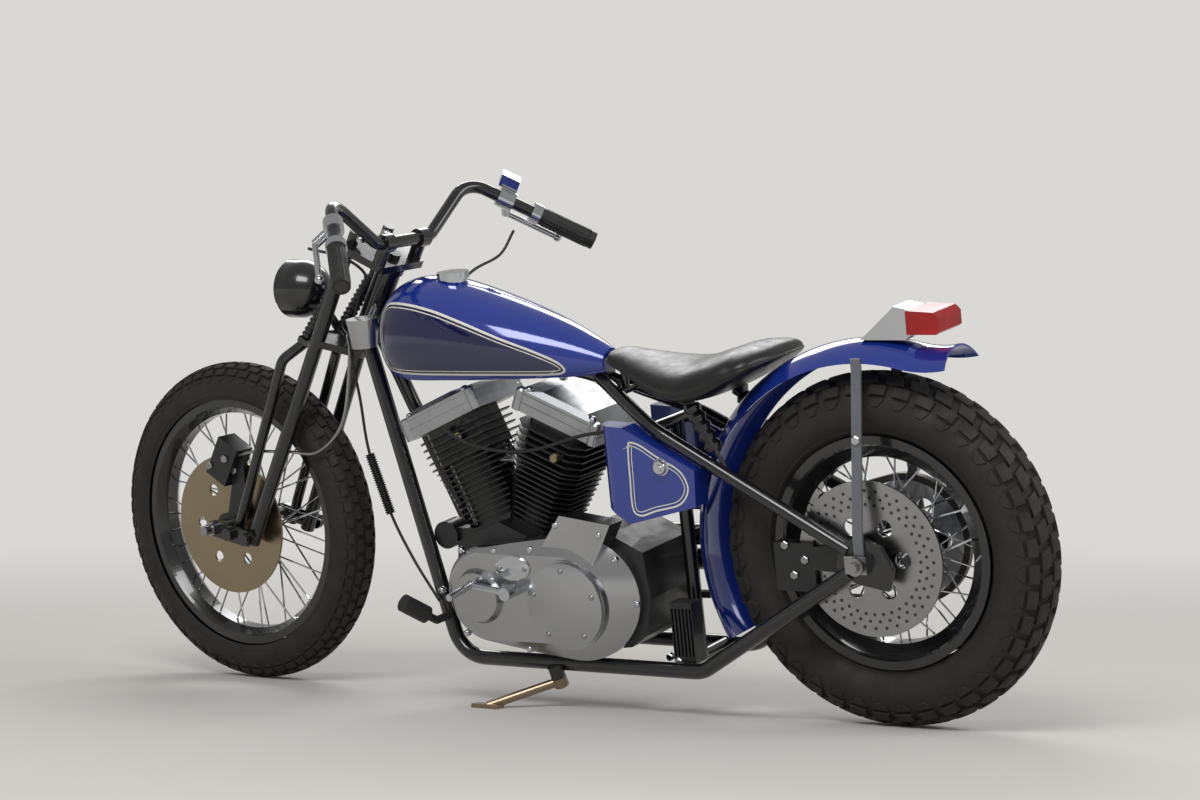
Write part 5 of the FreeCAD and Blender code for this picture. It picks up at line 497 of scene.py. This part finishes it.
# Tyres: both are moulded block treads with a plain side and thin rings by the bead
rearTyre = {
    "wheelX": 0.0, "axleZ": 339.0, "middle": 275.0, "section": 62.0, "beadRadius": 222.4,
    "pitches": 40, "depth": 8.0,
    "rows": (13.0, 17.0, 38.0, 42.0, 62.0, 66.0, 83.0),    # degrees round the section where rows begin and end
    "slant": 0.09,                                         # of a pitch, each way, in the second rows
}
frontTyre = {
    "wheelX": 1532.0, "axleZ": 339.0, "middle": 289.0, "section": 48.0, "beadRadius": 261.9,
    "pitches": 60, "depth": 5.5,
    "rows": (12.0, 17.0, 34.0, 39.0, 57.0, 61.0, 74.0),
    "slant": 0.0,
}
tread = {
    "phase": (0, 0.065, 0.13, 0.17, 0.25, 0.33, 0.37, 0.44, 0.5, 0.56, 0.63, 0.67, 0.75, 0.83, 0.87, 0.935),
    "blockEnds": (0.13, 0.17, 0.83, 0.87),                 # of a pitch: foot, top, top and foot of a block
    "ramp": 1.1,                                           # degrees of the section that a block's wall takes
    "secondMiddle": 4, "shoulderMiddle": 3,                # degrees each side of a row's middle
    "lowerTop": (0.6, 0.4), "lowerShare": 0.42, "lowerFade": 0.8,
    "shoulderDip": 0.05,                                   # of the depth, at the shoulder blocks' edges
    "pointStart": 3, "pointShare": 0.35,                   # where the lowest blocks start to narrow, and to what
    "sideStart": 5, "sideStep": 10, "sideLines": 9, "flatSide": 98,
    "sideFall": (2.6, 0.7, 0.4),                           # the casing inside the section's radius, below the blocks
    "ringAngles": (16, 15, 13, 12), "ringHeight": 0.7,     # thin ring: degrees before the bead, and its height
    "innerLines": 12, "innerStart": 3, "innerDepth": 5.0,
}


def sectionLines(values, end):
    # Angles from the crown to the bead where lines of the tyre's outside run, in degrees
    edges, ramp = values["rows"], tread["ramp"]
    upper, shoulder = (edges[1] + edges[2]) / 2, (edges[3] + edges[4]) / 2
    half = [0.0, edges[0] * 0.5]
    for low, high in ((0, 1), (2, 3), (4, 5)):
        half += [edges[low] - ramp, edges[low], edges[high], edges[high] + ramp]
    half += [upper - tread["secondMiddle"], upper + tread["secondMiddle"]]
    half += [shoulder - tread["shoulderMiddle"], shoulder + tread["shoulderMiddle"]]
    half += [edges[5] * tread["lowerTop"][0] + edges[6] * tread["lowerTop"][1], edges[6] - ramp, edges[6]]
    half += [edges[6] + tread["sideStart"]] + list(np.linspace(edges[6] + tread["sideStep"], end, tread["sideLines"]))
    half = np.array(sorted(half + [end - angle for angle in tread["ringAngles"]]))
    return np.concatenate([-half[:0:-1], half])


def blockHeight(values, size, u):
    # Blocks stand in the middle of each pitch; the second rows are half a pitch on
    edges, ramp, ends = values["rows"], tread["ramp"], tread["blockEnds"]
    block = np.interp(u, ends, [0, 1, 1, 0])
    shifted = np.interp((u + 0.5) % 1, ends, [0, 1, 1, 0])
    centreRow = np.interp(size, [edges[0] - ramp, edges[0]], [1, 0])
    secondRow = np.interp(size, [edges[1], edges[1] + ramp, edges[2] - ramp, edges[2]], [0, 1, 1, 0])
    shoulder = np.interp(size, [edges[3], edges[3] + ramp, edges[4] - ramp, edges[4]], [0, 1, 1, 0])
    lower = np.interp(size, [edges[5], edges[5] + ramp, edges[6] - ramp, edges[6]], [0, 1, tread["lowerFade"], 0])
    crown = 1 - tread["shoulderDip"] * np.interp(size, [edges[3], (edges[3] + edges[4]) / 2, edges[4]], [1, 0, 1])
    rows = block * centreRow + shifted * secondRow + block * shoulder * crown + tread["lowerShare"] * block * lower
    return values["depth"] * rows


def warpedPhase(values, outer, size, u):
    # The second rows' edges run aslant, and the lowest blocks narrow to a point towards the rim
    edges = values["rows"]
    slant = values["slant"] * np.sign(outer)[:, None] * np.interp(size, edges[:4], [0, -1, 1, 0])
    narrow = np.interp(size, [edges[5] + tread["pointStart"], edges[6]], [1, tread["pointShare"]])
    off, reach = abs(u - 0.5), 0.5 - tread["blockEnds"][0]
    off = np.where(off <= reach, off * narrow, reach * narrow + (off - reach) * (0.5 - reach * narrow) / (0.5 - reach))
    return 0.5 + np.sign(u - 0.5) * off + slant


def tyreShape(values):
    # Torus: radius m + b(f) + h(u, f), with f round the section, u along a pitch, b the casing and h the blocks
    edges, section, depth = values["rows"], values["section"], values["depth"]
    end = 180 - math.degrees(math.acos((values["middle"] - values["beadRadius"]) / section))
    outer = sectionLines(values, end)
    inner = np.linspace(end - tread["innerStart"], tread["innerStart"] - end, tread["innerLines"])
    u = np.array(tread["phase"])[None, :]
    size = abs(outer)[:, None]
    casing = np.interp(size, [0, edges[4], edges[6] + 6, tread["flatSide"], end],
                       [section - depth, section - depth] + [section - fall for fall in tread["sideFall"]])
    ring = tread["ringHeight"] * np.interp(size, [end - angle for angle in tread["ringAngles"]], [0, 1, 1, 0])
    radial = casing + blockHeight(values, size, u) + ring * (size > edges[6] + tread["sideStart"])
    radial = np.concatenate([radial, np.full((len(inner), u.size), section - depth - tread["innerDepth"])])
    warped = np.concatenate([warpedPhase(values, outer, size, u), np.repeat(u, len(inner), 0)])
    across = np.radians(np.concatenate([outer, inner]))[:, None]
    out = np.maximum(values["middle"] + radial * np.cos(across), values["beadRadius"])
    side = radial * np.sin(across)
    turns = values["pitches"]
    angle = (np.arange(turns)[None, :, None] + warped[:, None, :]) * 2 * np.pi / turns
    grid = (len(angle), -1)
    angle = angle.reshape(grid)
    out = np.repeat(out[:, None, :], turns, 1).reshape(grid)
    side = np.repeat(side[:, None, :], turns, 1).reshape(grid)
    points = np.stack([values["wheelX"] + out * np.cos(angle), side, values["axleZ"] + out * np.sin(angle)], -1)
    return points.reshape(-1, 3), gridQuads(points.shape[0], points.shape[1], True, True)


addPiece("rear_tyre_tread", tyreShape(rearTyre), "tyreRubber", "rear_wheel", sharp=38, replaced=("rear_tyre",))
addPiece("front_tyre_tread", tyreShape(frontTyre), "tyreRubber", "front_wheel", steered=True, sharp=38,
         replaced=("front_tyre",))
print("tyres moulded")


def laidOn(piece, nodeName, lift):
    # Each point goes straight along its normal to the CAD surface and stands off it by the paint's thickness
    wrap = piece.modifiers.new("laid", "SHRINKWRAP")
    wrap.target = nodes[nodeName]
    wrap.wrap_method = "PROJECT"
    wrap.wrap_mode = "ABOVE_SURFACE"
    wrap.use_negative_direction = True
    wrap.use_positive_direction = True
    wrap.offset = lift / 1000
    laid = bpy.data.meshes.new_from_object(piece.evaluated_get(bpy.context.evaluated_depsgraph_get()))
    piece.modifiers.clear()
    piece.data = laid


# Tank sides: a darker panel inside two hand-pulled lines, on the side view's (ahead, up)
tankPanel = {
    "outline": [(1034, 690), (1014, 683), (956, 680), (886, 679), (799, 677), (717, 674), (668, 673), (648, 677),
                (645, 688), (661, 704), (707, 727), (766, 751), (817, 772), (864, 790), (912, 806), (960, 817),
                (1000, 821), (1030, 819), (1043, 806), (1048, 780), (1045, 740), (1040, 708)],
    "outerLine": (0.0, 4.2), "innerLine": (8.0, 9.8),    # each line's two edges, measured in from the outline
    "lineLift": 0.45, "panelLift": 0.25, "count": 260, "rings": 26,
}
paintedSides = (150, -150)    # planes clear of both sides, from which paint is laid on
bandLines = 4


def insetLoop(loop, distance):
    # Moves a closed line inwards along its normals, the turned slopes of its neighbours
    slope = np.roll(loop, -1, 0) - np.roll(loop, 1, 0)
    slope /= np.linalg.norm(slope, axis=1, keepdims=True)
    normal = np.stack([-slope[:, 1], slope[:, 0]], -1)
    area = np.sum(loop[:, 0] * np.roll(loop[:, 1], -1) - np.roll(loop[:, 0], -1) * loop[:, 1])
    return loop + normal * distance * np.sign(area)


def sideways(flat, side):
    # (ahead, up) put into the side plane
    return np.stack([flat[..., 0], np.full(flat.shape[:-1], side), flat[..., 1]], -1).reshape(-1, 3)


def lineBand(loop, edges, side):
    # Strip between two insets of the loop
    rows = np.stack([insetLoop(loop, distance) for distance in np.linspace(*edges, bandLines)])
    quads = gridQuads(bandLines, len(loop), False, True)
    return sideways(rows, side), quads if side > 0 else quads[:, ::-1]


def filledPanel(loop, side, rings):
    # The loop shrunk towards its middle in equal steps: c + k (p - c)
    middle = loop.mean(0)
    rows = middle + np.linspace(1, 0, rings)[:, None, None] * (loop - middle)
    quads = gridQuads(rings, len(loop), False, True)
    return sideways(rows, side), quads if side > 0 else quads[:, ::-1]


def paintSide(prefix, values, nodeName, side):
    loop = smoothLine(values["outline"], values["count"], closed=True)
    name = prefix + ("_left" if side > 0 else "_right")
    if values["rings"]:
        flat = filledPanel(loop, side, values["rings"])
        panel = addPiece(name + "_panel", flat, "navyEnamel", "frame", closed=False)
        laidOn(panel, nodeName, values["panelLift"])
    lines = joined([lineBand(loop, values["outerLine"], side), lineBand(loop, values["innerLine"], side)])
    band = addPiece(name + "_lines", lines, "creamPaint", "frame", closed=False)
    laidOn(band, nodeName, values["lineLift"])


for side in paintedSides:
    paintSide("tank", tankPanel, "fuel_tank", side)
print("tank panels and lines painted")

# Saddle: sprung solo seat in smooth black leather; shares of its length, half width and height
saddle = {
    "rearX": 186.0, "length": 384.0, "halfWidth": 136.0, "bottom": 626.0, "height": 104.0,
    "along": (0.0, 0.05, 0.16, 0.32, 0.48, 0.66, 0.84, 0.96, 1.0),
    "wide": (0.42, 0.74, 0.93, 1.0, 0.95, 0.76, 0.50, 0.34, 0.22),
    "low": (0.73, 0.62, 0.38, 0.10, 0.02, 0.16, 0.44, 0.62, 0.68),
    "high": (0.86, 0.94, 0.98, 0.84, 0.69, 0.70, 0.80, 0.86, 0.84),
    "edge": 0.30,                            # height of the welt within the section
    "roundShare": 0.045, "endWidth": 0.35,   # length over which the ends round off, and the width left there
    "acrossPower": 0.8, "crownPower": 0.85, "bellyPower": 0.55,
    "welt": 2.6, "weltSunk": 0.6, "weltSides": 8, "fill": 0.9,
}


def eased(x, xs, ys):
    # Cubic through the table, with slopes from its own gradient (Hermite's basis)
    xs, ys = np.asarray(xs, float), np.asarray(ys, float)
    slopes = np.gradient(ys, xs)
    k = np.clip(np.searchsorted(xs, x, side="right") - 1, 0, len(xs) - 2)
    span = xs[k + 1] - xs[k]
    t = (x - xs[k]) / span
    return ((1 + 2 * t) * (1 - t) ** 2 * ys[k] + t * (1 - t) ** 2 * span * slopes[k]
            + t * t * (3 - 2 * t) * ys[k + 1] - t * t * (1 - t) * span * slopes[k + 1])


def saddleLines(values, along):
    wide = values["halfWidth"] * eased(along, values["along"], values["wide"])
    low = values["bottom"] + values["height"] * eased(along, values["along"], values["low"])
    high = values["bottom"] + values["height"] * eased(along, values["along"], values["high"])
    edge = low + values["edge"] * (high - low)
    # Both ends round off: each size times sqrt(1 - (1 - d)^2) over the last few millimetres
    near = np.clip(np.minimum(along, 1 - along) / values["roundShare"], 0, 1)
    bow = np.sqrt(np.clip(1 - (1 - near) ** 2, 0, 1))
    wide = wide * (values["endWidth"] + (1 - values["endWidth"]) * bow) * (bow > 0)
    return values["rearX"] + values["length"] * along, wide, edge, (high - edge) * bow, (edge - low) * bow


def saddleShape(values, rows=72, columns=72):
    # Across: w sgn(c)|c|^p; up: crown |s|^q above the welt, and below it the belly |s|^r
    along = 0.5 - 0.5 * np.cos(np.linspace(0, np.pi, rows))
    x, wide, mid, rise, fall = (line[:, None] for line in saddleLines(values, along))
    angle = 2 * np.pi * np.arange(columns) / columns
    c, s = np.cos(angle)[None], np.sin(angle)[None]
    y = wide * np.sign(c) * abs(c) ** values["acrossPower"]
    z = mid + np.where(s > 0, rise * abs(s) ** values["crownPower"], -fall * abs(s) ** values["bellyPower"])
    points = np.stack([x + 0 * y, y, z], -1)
    return points.reshape(-1, 3), gridQuads(rows, columns, False, True)


def weltPath(values, count=90):
    along = 0.5 - 0.5 * np.cos(np.linspace(0, np.pi, count))[1:-1]
    x, wide, mid, rise, fall = saddleLines(values, along)
    left = np.stack([x, wide - values["weltSunk"], mid], -1)
    right = left * (1, -1, 1)
    return np.concatenate([left, right[::-1]])


seatPiece = addPiece("saddle", saddleShape(saddle), "saddleLeather", "frame", replaced=("seat",))
weltShape = tubeAlong(weltPath(saddle), saddle["welt"], saddle["weltSides"], closed=True)
addPiece("saddle_welt", weltShape, "saddleLeather", "frame")
print("saddle made")

# Small hardware; its places are in upright-machine millimetres, brought onto the CAD surface along a line


def fromRow(points):
    # Back from the leaned machine in metres to the upright one in millimetres
    return (np.asarray(points, float) * 1000 - rowShift) @ leanTurn


def restingOn(nodeName, places, along, reach=70.0):
    # Where a line from outside, against the given direction, first meets the CAD surface; a miss keeps its place
    target = nodes[nodeName]
    back = target.matrix_world.inverted()
    way = np.asarray(along, float)
    found = []
    for place in np.asarray(places, float):
        start, end = toRow(place + reach * way), toRow(place - reach * way)
        aim = (back.to_3x3() @ Vector(end - start)).normalized()
        hit, spot, normal, index = target.ray_cast(back @ Vector(start), aim)
        found.append(fromRow(np.array(target.matrix_world @ spot)) if hit else place)
    return np.array(found)


def domedHead(radius, height, sunk):
    # Cap: quarter-round shoulder over a short wall, its foot sunk into what it is screwed to
    dome = [(0, 1), (0.45, 0.97), (0.75, 0.82), (0.94, 0.5), (1, 0.2)]    # shares of the radius and the height
    return turned([(radius * out, height * up) for out, up in dome] + [(radius, -sunk), (0, -sunk)], 20)


def hexHead(radius, height, sunk):
    # Six flats with a chamfered top
    chamfer = [(0, 1), (0.86, 1), (1, 0.82)]
    return turned([(radius * out, height * up) for out, up in chamfer] + [(radius, -sunk), (0, -sunk)], 6)


def metalPiece(name, shape, finish, body):
    # Hardware keeps its turned and cut edges crisp
    return addPiece(name, shape, finish, body, sharp=35)


def ringOf(middle, radius, count, start, side):
    # Places round a circle in the side plane
    angle = math.radians(start) + 2 * np.pi * np.arange(count) / count
    ahead, up = middle[0] + radius * np.cos(angle), middle[1] + radius * np.sin(angle)
    return np.stack([ahead, np.full(count, side), up], -1)


outward = np.array([0, 1.0, 0])
upward = np.array([0, 0, 1.0])
clutchLid = {"middle": (632, 240), "screwRing": 70.0, "screws": 5, "firstScrew": 90, "side": 165}

# Screws, nuts and plugs: head, radius, height and depth sunk; what they sit on; where and which way they point
fastenings = {
    "primary_screws": (domedHead, (6.5, 4.0, 9.0), "primary_cover", outward, "chromePlate", "frame", "chrome",
                       [(931, 150, 255), (873, 150, 338), (796, 150, 339), (712, 150, 345), (535, 150, 325),
                        (501, 150, 237), (880, 150, 170), (739, 150, 143), (649, 150, 394), (552, 150, 378)]),
    "clutch_lid_screws": (domedHead, (5.5, 3.5, 5.0), "derby_cover", outward, "brushedSteel", "frame", "steel",
                          ringOf(clutchLid["middle"], clutchLid["screwRing"], clutchLid["screws"],
                                 clutchLid["firstScrew"], clutchLid["side"])),
    "plug_bodies": (hexHead, (10.0, 14.0, 12.0), "cylinder_heads", outward, "bronzeDisc", "frame", "steel",
                    [(905, 60, 550), (670, 80, 515)]),
    "regulator_bolts": (hexHead, (8.0, 6.0, 5.0), "regulator", outward, "chromePlate", "frame", "chrome",
                        [(468, 60, 121), (429, 60, 123)]),
    "front_caliper_bolts": (hexHead, (8.5, 5.0, 5.0), "front_caliper", outward, "brushedSteel", "steering", "steel",
                            [(1511, 70, 489), (1556, 67, 474), (1498, 58, 463)]),
    "rear_caliper_bolts": (hexHead, (8.5, 5.0, 5.0), "rear_caliper", outward, "brushedSteel", "frame", "steel",
                           [(169, 97, 364), (154, 97, 307), (129, 97, 337)]),
    "stay_bolts": (hexHead, (9.0, 6.0, 5.0), "fender_stays", outward, "chromePlate", "frame", "chrome",
                   [(0, 97, 566)]),
    "riser_nuts": (domedHead, (10.0, 9.0, 5.0), "handlebar", upward, "chromePlate", "steering", "chrome",
                   [(1112, 45, 940), (1115, -45, 938)]),
}
for name, (makeHead, sizes, nodeName, along, finish, body, slot, places) in fastenings.items():
    seats = restingOn(nodeName, places, along)
    metalPiece(name, joined([aimed(makeHead(*sizes), seat, along) for seat in seats]), finish, body)

# Inspection lid: a small oval on the primary cover, held by two screws
inspection = {
    "place": (752, 150, 308), "height": 27.0, "stretch": 1.5, "rise": 5.0, "screws": 30.0, "screw": (5.0, 3.0, 2.0),
    "rim": [(0, 1), (0.9, 1), (0.98, 0.6), (1, -1), (0, -1)],    # shares of the half height and the rise
}
rim = [(inspection["height"] * out, inspection["rise"] * up) for out, up in inspection["rim"]]
lid, lidQuads = turned(rim, 48)
lidSeat = restingOn("primary_cover", [inspection["place"]], outward)[0]
lidShape = aimed((lid * (inspection["stretch"], 1, 1), lidQuads), lidSeat, outward)
metalPiece("inspection_lid", lidShape, "chromePlate", "frame")
lidEnds = [lidSeat + (end * inspection["screws"], inspection["rise"], 0) for end in (-1, 1)]
lidHeads = joined([aimed(domedHead(*inspection["screw"]), end, outward) for end in lidEnds])
metalPiece("lid_screws", lidHeads, "brushedSteel", "frame")

# Rocker covers: four domed nuts on each, along the cylinder's axis
cylinders = {
    "crank": (815, 0, 256), "tilt": 22.5, "reach": 392.0, "ahead": 76.0, "sides": (52.0, -70.0), "nut": (8.5, 9.0, 9.0),
}
nuts = []
for tilt in (cylinders["tilt"], -cylinders["tilt"]):
    lean = math.radians(tilt)
    upAxis = np.array([math.sin(lean), 0, math.cos(lean)])
    foreAxis = np.array([math.cos(lean), 0, -math.sin(lean)])
    top = np.array(cylinders["crank"]) + cylinders["reach"] * upAxis
    spots = [top + end * cylinders["ahead"] * foreAxis + side * outward for end in (-1, 1) for side in cylinders["sides"]]
    seats = restingOn("rocker_covers", spots, upAxis)
    nuts += [aimed(domedHead(*cylinders["nut"]), seat, upAxis) for seat in seats]
metalPiece("rocker_nuts", joined(nuts), "chromePlate", "frame")

# Rear brake disc: staggered rows of drilled holes on both faces, drawn as shallow caps in black enamel: the dark inside
# the holes is painted shade
drilling = {
    "axle": (0, 339), "rows": (104.0, 117.0, 130.0), "count": 36, "stagger": 5.0, "radius": 3.4, "side": 90.0,
    "well": [(0, 0.15), (0.86, 0.15), (1, 0.25), (1, -1.5), (0, -1.5)],    # share of the radius, and height
}
well = turned([(drilling["radius"] * out, up) for out, up in drilling["well"]], 12)
shadeWells = []
for facing in (outward, -outward):
    for row, radius in enumerate(drilling["rows"]):
        start = drilling["stagger"] * row
        spots = ringOf(drilling["axle"], radius, drilling["count"], start, drilling["side"])
        shadeWells += [aimed(well, seat, facing) for seat in restingOn("rear_disc", spots, facing)]
# Painted shade: the black caps stand in for the shadow inside the drilled holes
metalPiece("rear_disc_hole_shade", joined(shadeWells), "blackEnamel", "rear_wheel")

# Side boxes: two lines inside the edge and a round lock knob
boxPaint = {
    "outline": [(452, 564), (412, 541), (362, 513), (343, 480), (348, 452), (372, 429), (423, 416), (464, 405),
                (489, 424), (490, 491), (488, 545), (480, 566)],
    "outerLine": (9.0, 12.5), "innerLine": (17.0, 18.8), "lineLift": 0.45, "count": 200, "rings": 0,
    "knobAhead": 407, "knobUp": 512,
    "knob": [(0, 13), (6, 13), (7, 11), (12, 11), (14, 8), (14, 3), (17, 2), (17, -3), (0, -3)],
}
for side in paintedSides:
    paintSide("side_box", boxPaint, "side_boxes", side)
    facing = outward * np.sign(side)
    seat = restingOn("side_boxes", [(boxPaint["knobAhead"], side, boxPaint["knobUp"])], facing)[0]
    knobName = "box_knob_left" if side > 0 else "box_knob_right"
    metalPiece(knobName, aimed(turned(boxPaint["knob"], 32), seat, facing), "chromePlate", "frame")

# Grips: lengthwise ribs round each rubber sleeve, laid out from the CAD sleeve's own axis
gripRib = {"count": 16, "radius": 1.5, "sides": 8, "sunk": 0.97, "innerEnd": 12, "outerEnd": 8, "lines": 6, "turn": 0.3}


def nodePoints(name):
    # A CAD node's points on the upright machine, in millimetres
    place = nodes[name].matrix_world
    flat = np.empty(len(nodes[name].data.vertices) * 3)
    nodes[name].data.vertices.foreach_get("co", flat)
    return fromRow(flat.reshape(-1, 3) @ np.array(place.to_3x3()).T + np.array(place.translation))


gripPoints = nodePoints("grips")
ribs = []
for rubber in (gripPoints[gripPoints[:, 1] > 0], gripPoints[gripPoints[:, 1] < 0]):
    middle = (rubber.min(0) + rubber.max(0)) / 2
    axis = np.linalg.svd(rubber - rubber.mean(0), full_matrices=False)[2][0]
    along = (rubber - middle) @ axis
    radius = np.linalg.norm((rubber - middle) - along[:, None] * axis, axis=1).max()
    first = middle + axis * (along.min() + gripRib["innerEnd"])
    last = middle + axis * (along.max() - gripRib["outerEnd"])
    across = np.cross(axis, upward)
    across /= np.linalg.norm(across)
    guide = across + axis * gripRib["turn"]
    for angle in 2 * np.pi * np.arange(gripRib["count"]) / gripRib["count"]:
        off = radius * gripRib["sunk"] * (math.cos(angle) * across + math.sin(angle) * np.cross(axis, across))
        line = np.linspace(first + off, last + off, gripRib["lines"])
        ribs.append(tubeAlong(line, gripRib["radius"], gripRib["sides"], guide=guide))
addPiece("grip_ribs", joined(ribs), "gripRubber", "steering")

# Cables and hoses: a tube along a Catmull-Rom line through its given bends
# One that leaves the fork for the frame is attached to no body and its mesh is baked where it lies; its two blend
# places are worked out but not used
runs = {
    "brake_hose": {
        "points": [(1186, 30, 745), (1182, 35, 700), (1206, 50, 571), (1270, 60, 508), (1344, 66, 507),
                   (1430, 64, 505), (1500, 58, 492)],
        "radius": 3.2, "finish": "brushedSteel", "blend": None},
    "clutch_cable": {
        "points": [(1066, 272, 960), (1040, 200, 930), (1060, 110, 880), (1120, 60, 830), (1165, 48, 730),
                   (1155, 50, 614), (1139, 60, 506), (1101, 62, 384), (1048, 72, 292), (967, 112, 223)],
        "radius": 3.0, "finish": "gripRubber", "blend": ((1066, 272, 960), (1155, 50, 614))},
    "throttle_cable": {
        "points": [(960, -270, 905), (937, -180, 871), (946, -90, 852), (985, -45, 800), (1000, -40, 700)],
        "radius": 3.0, "finish": "gripRubber", "blend": ((960, -270, 905), (1000, -40, 700))},
}
cableForm = {"lines": 90, "sides": 12, "guide": (0.2, 1, 0.1)}
for name, values in runs.items():
    path = smoothLine(values["points"], cableForm["lines"])
    shape = tubeAlong(path, values["radius"], cableForm["sides"], guide=cableForm["guide"])
    cable = addPiece(name, shape, values["finish"], None if values["blend"] else "steering")
    if values["blend"]:
        start, end = (tuple(float(v) for v in toRow(place)) for place in values["blend"])
        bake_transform(cable)

# Spring sleeve round the cable: a tube whose radius swells once for each coil
spring = {
    "points": [(1139, 60, 506), (1120, 61, 445), (1101, 62, 384)],
    "radius": 9.0, "swell": 1.4, "coils": 26, "lines": 260, "sides": 16,
}
coilRadius = spring["radius"] + spring["swell"] * np.cos(np.linspace(0, 2 * np.pi * spring["coils"], spring["lines"]))
springLine = smoothLine(spring["points"], spring["lines"])
springShape = tubeAlong(springLine, coilRadius, spring["sides"], guide=cableForm["guide"])
addPiece("cable_spring", springShape, "gripRubber", "frame")
print("hardware fastened")

print("scene finished")
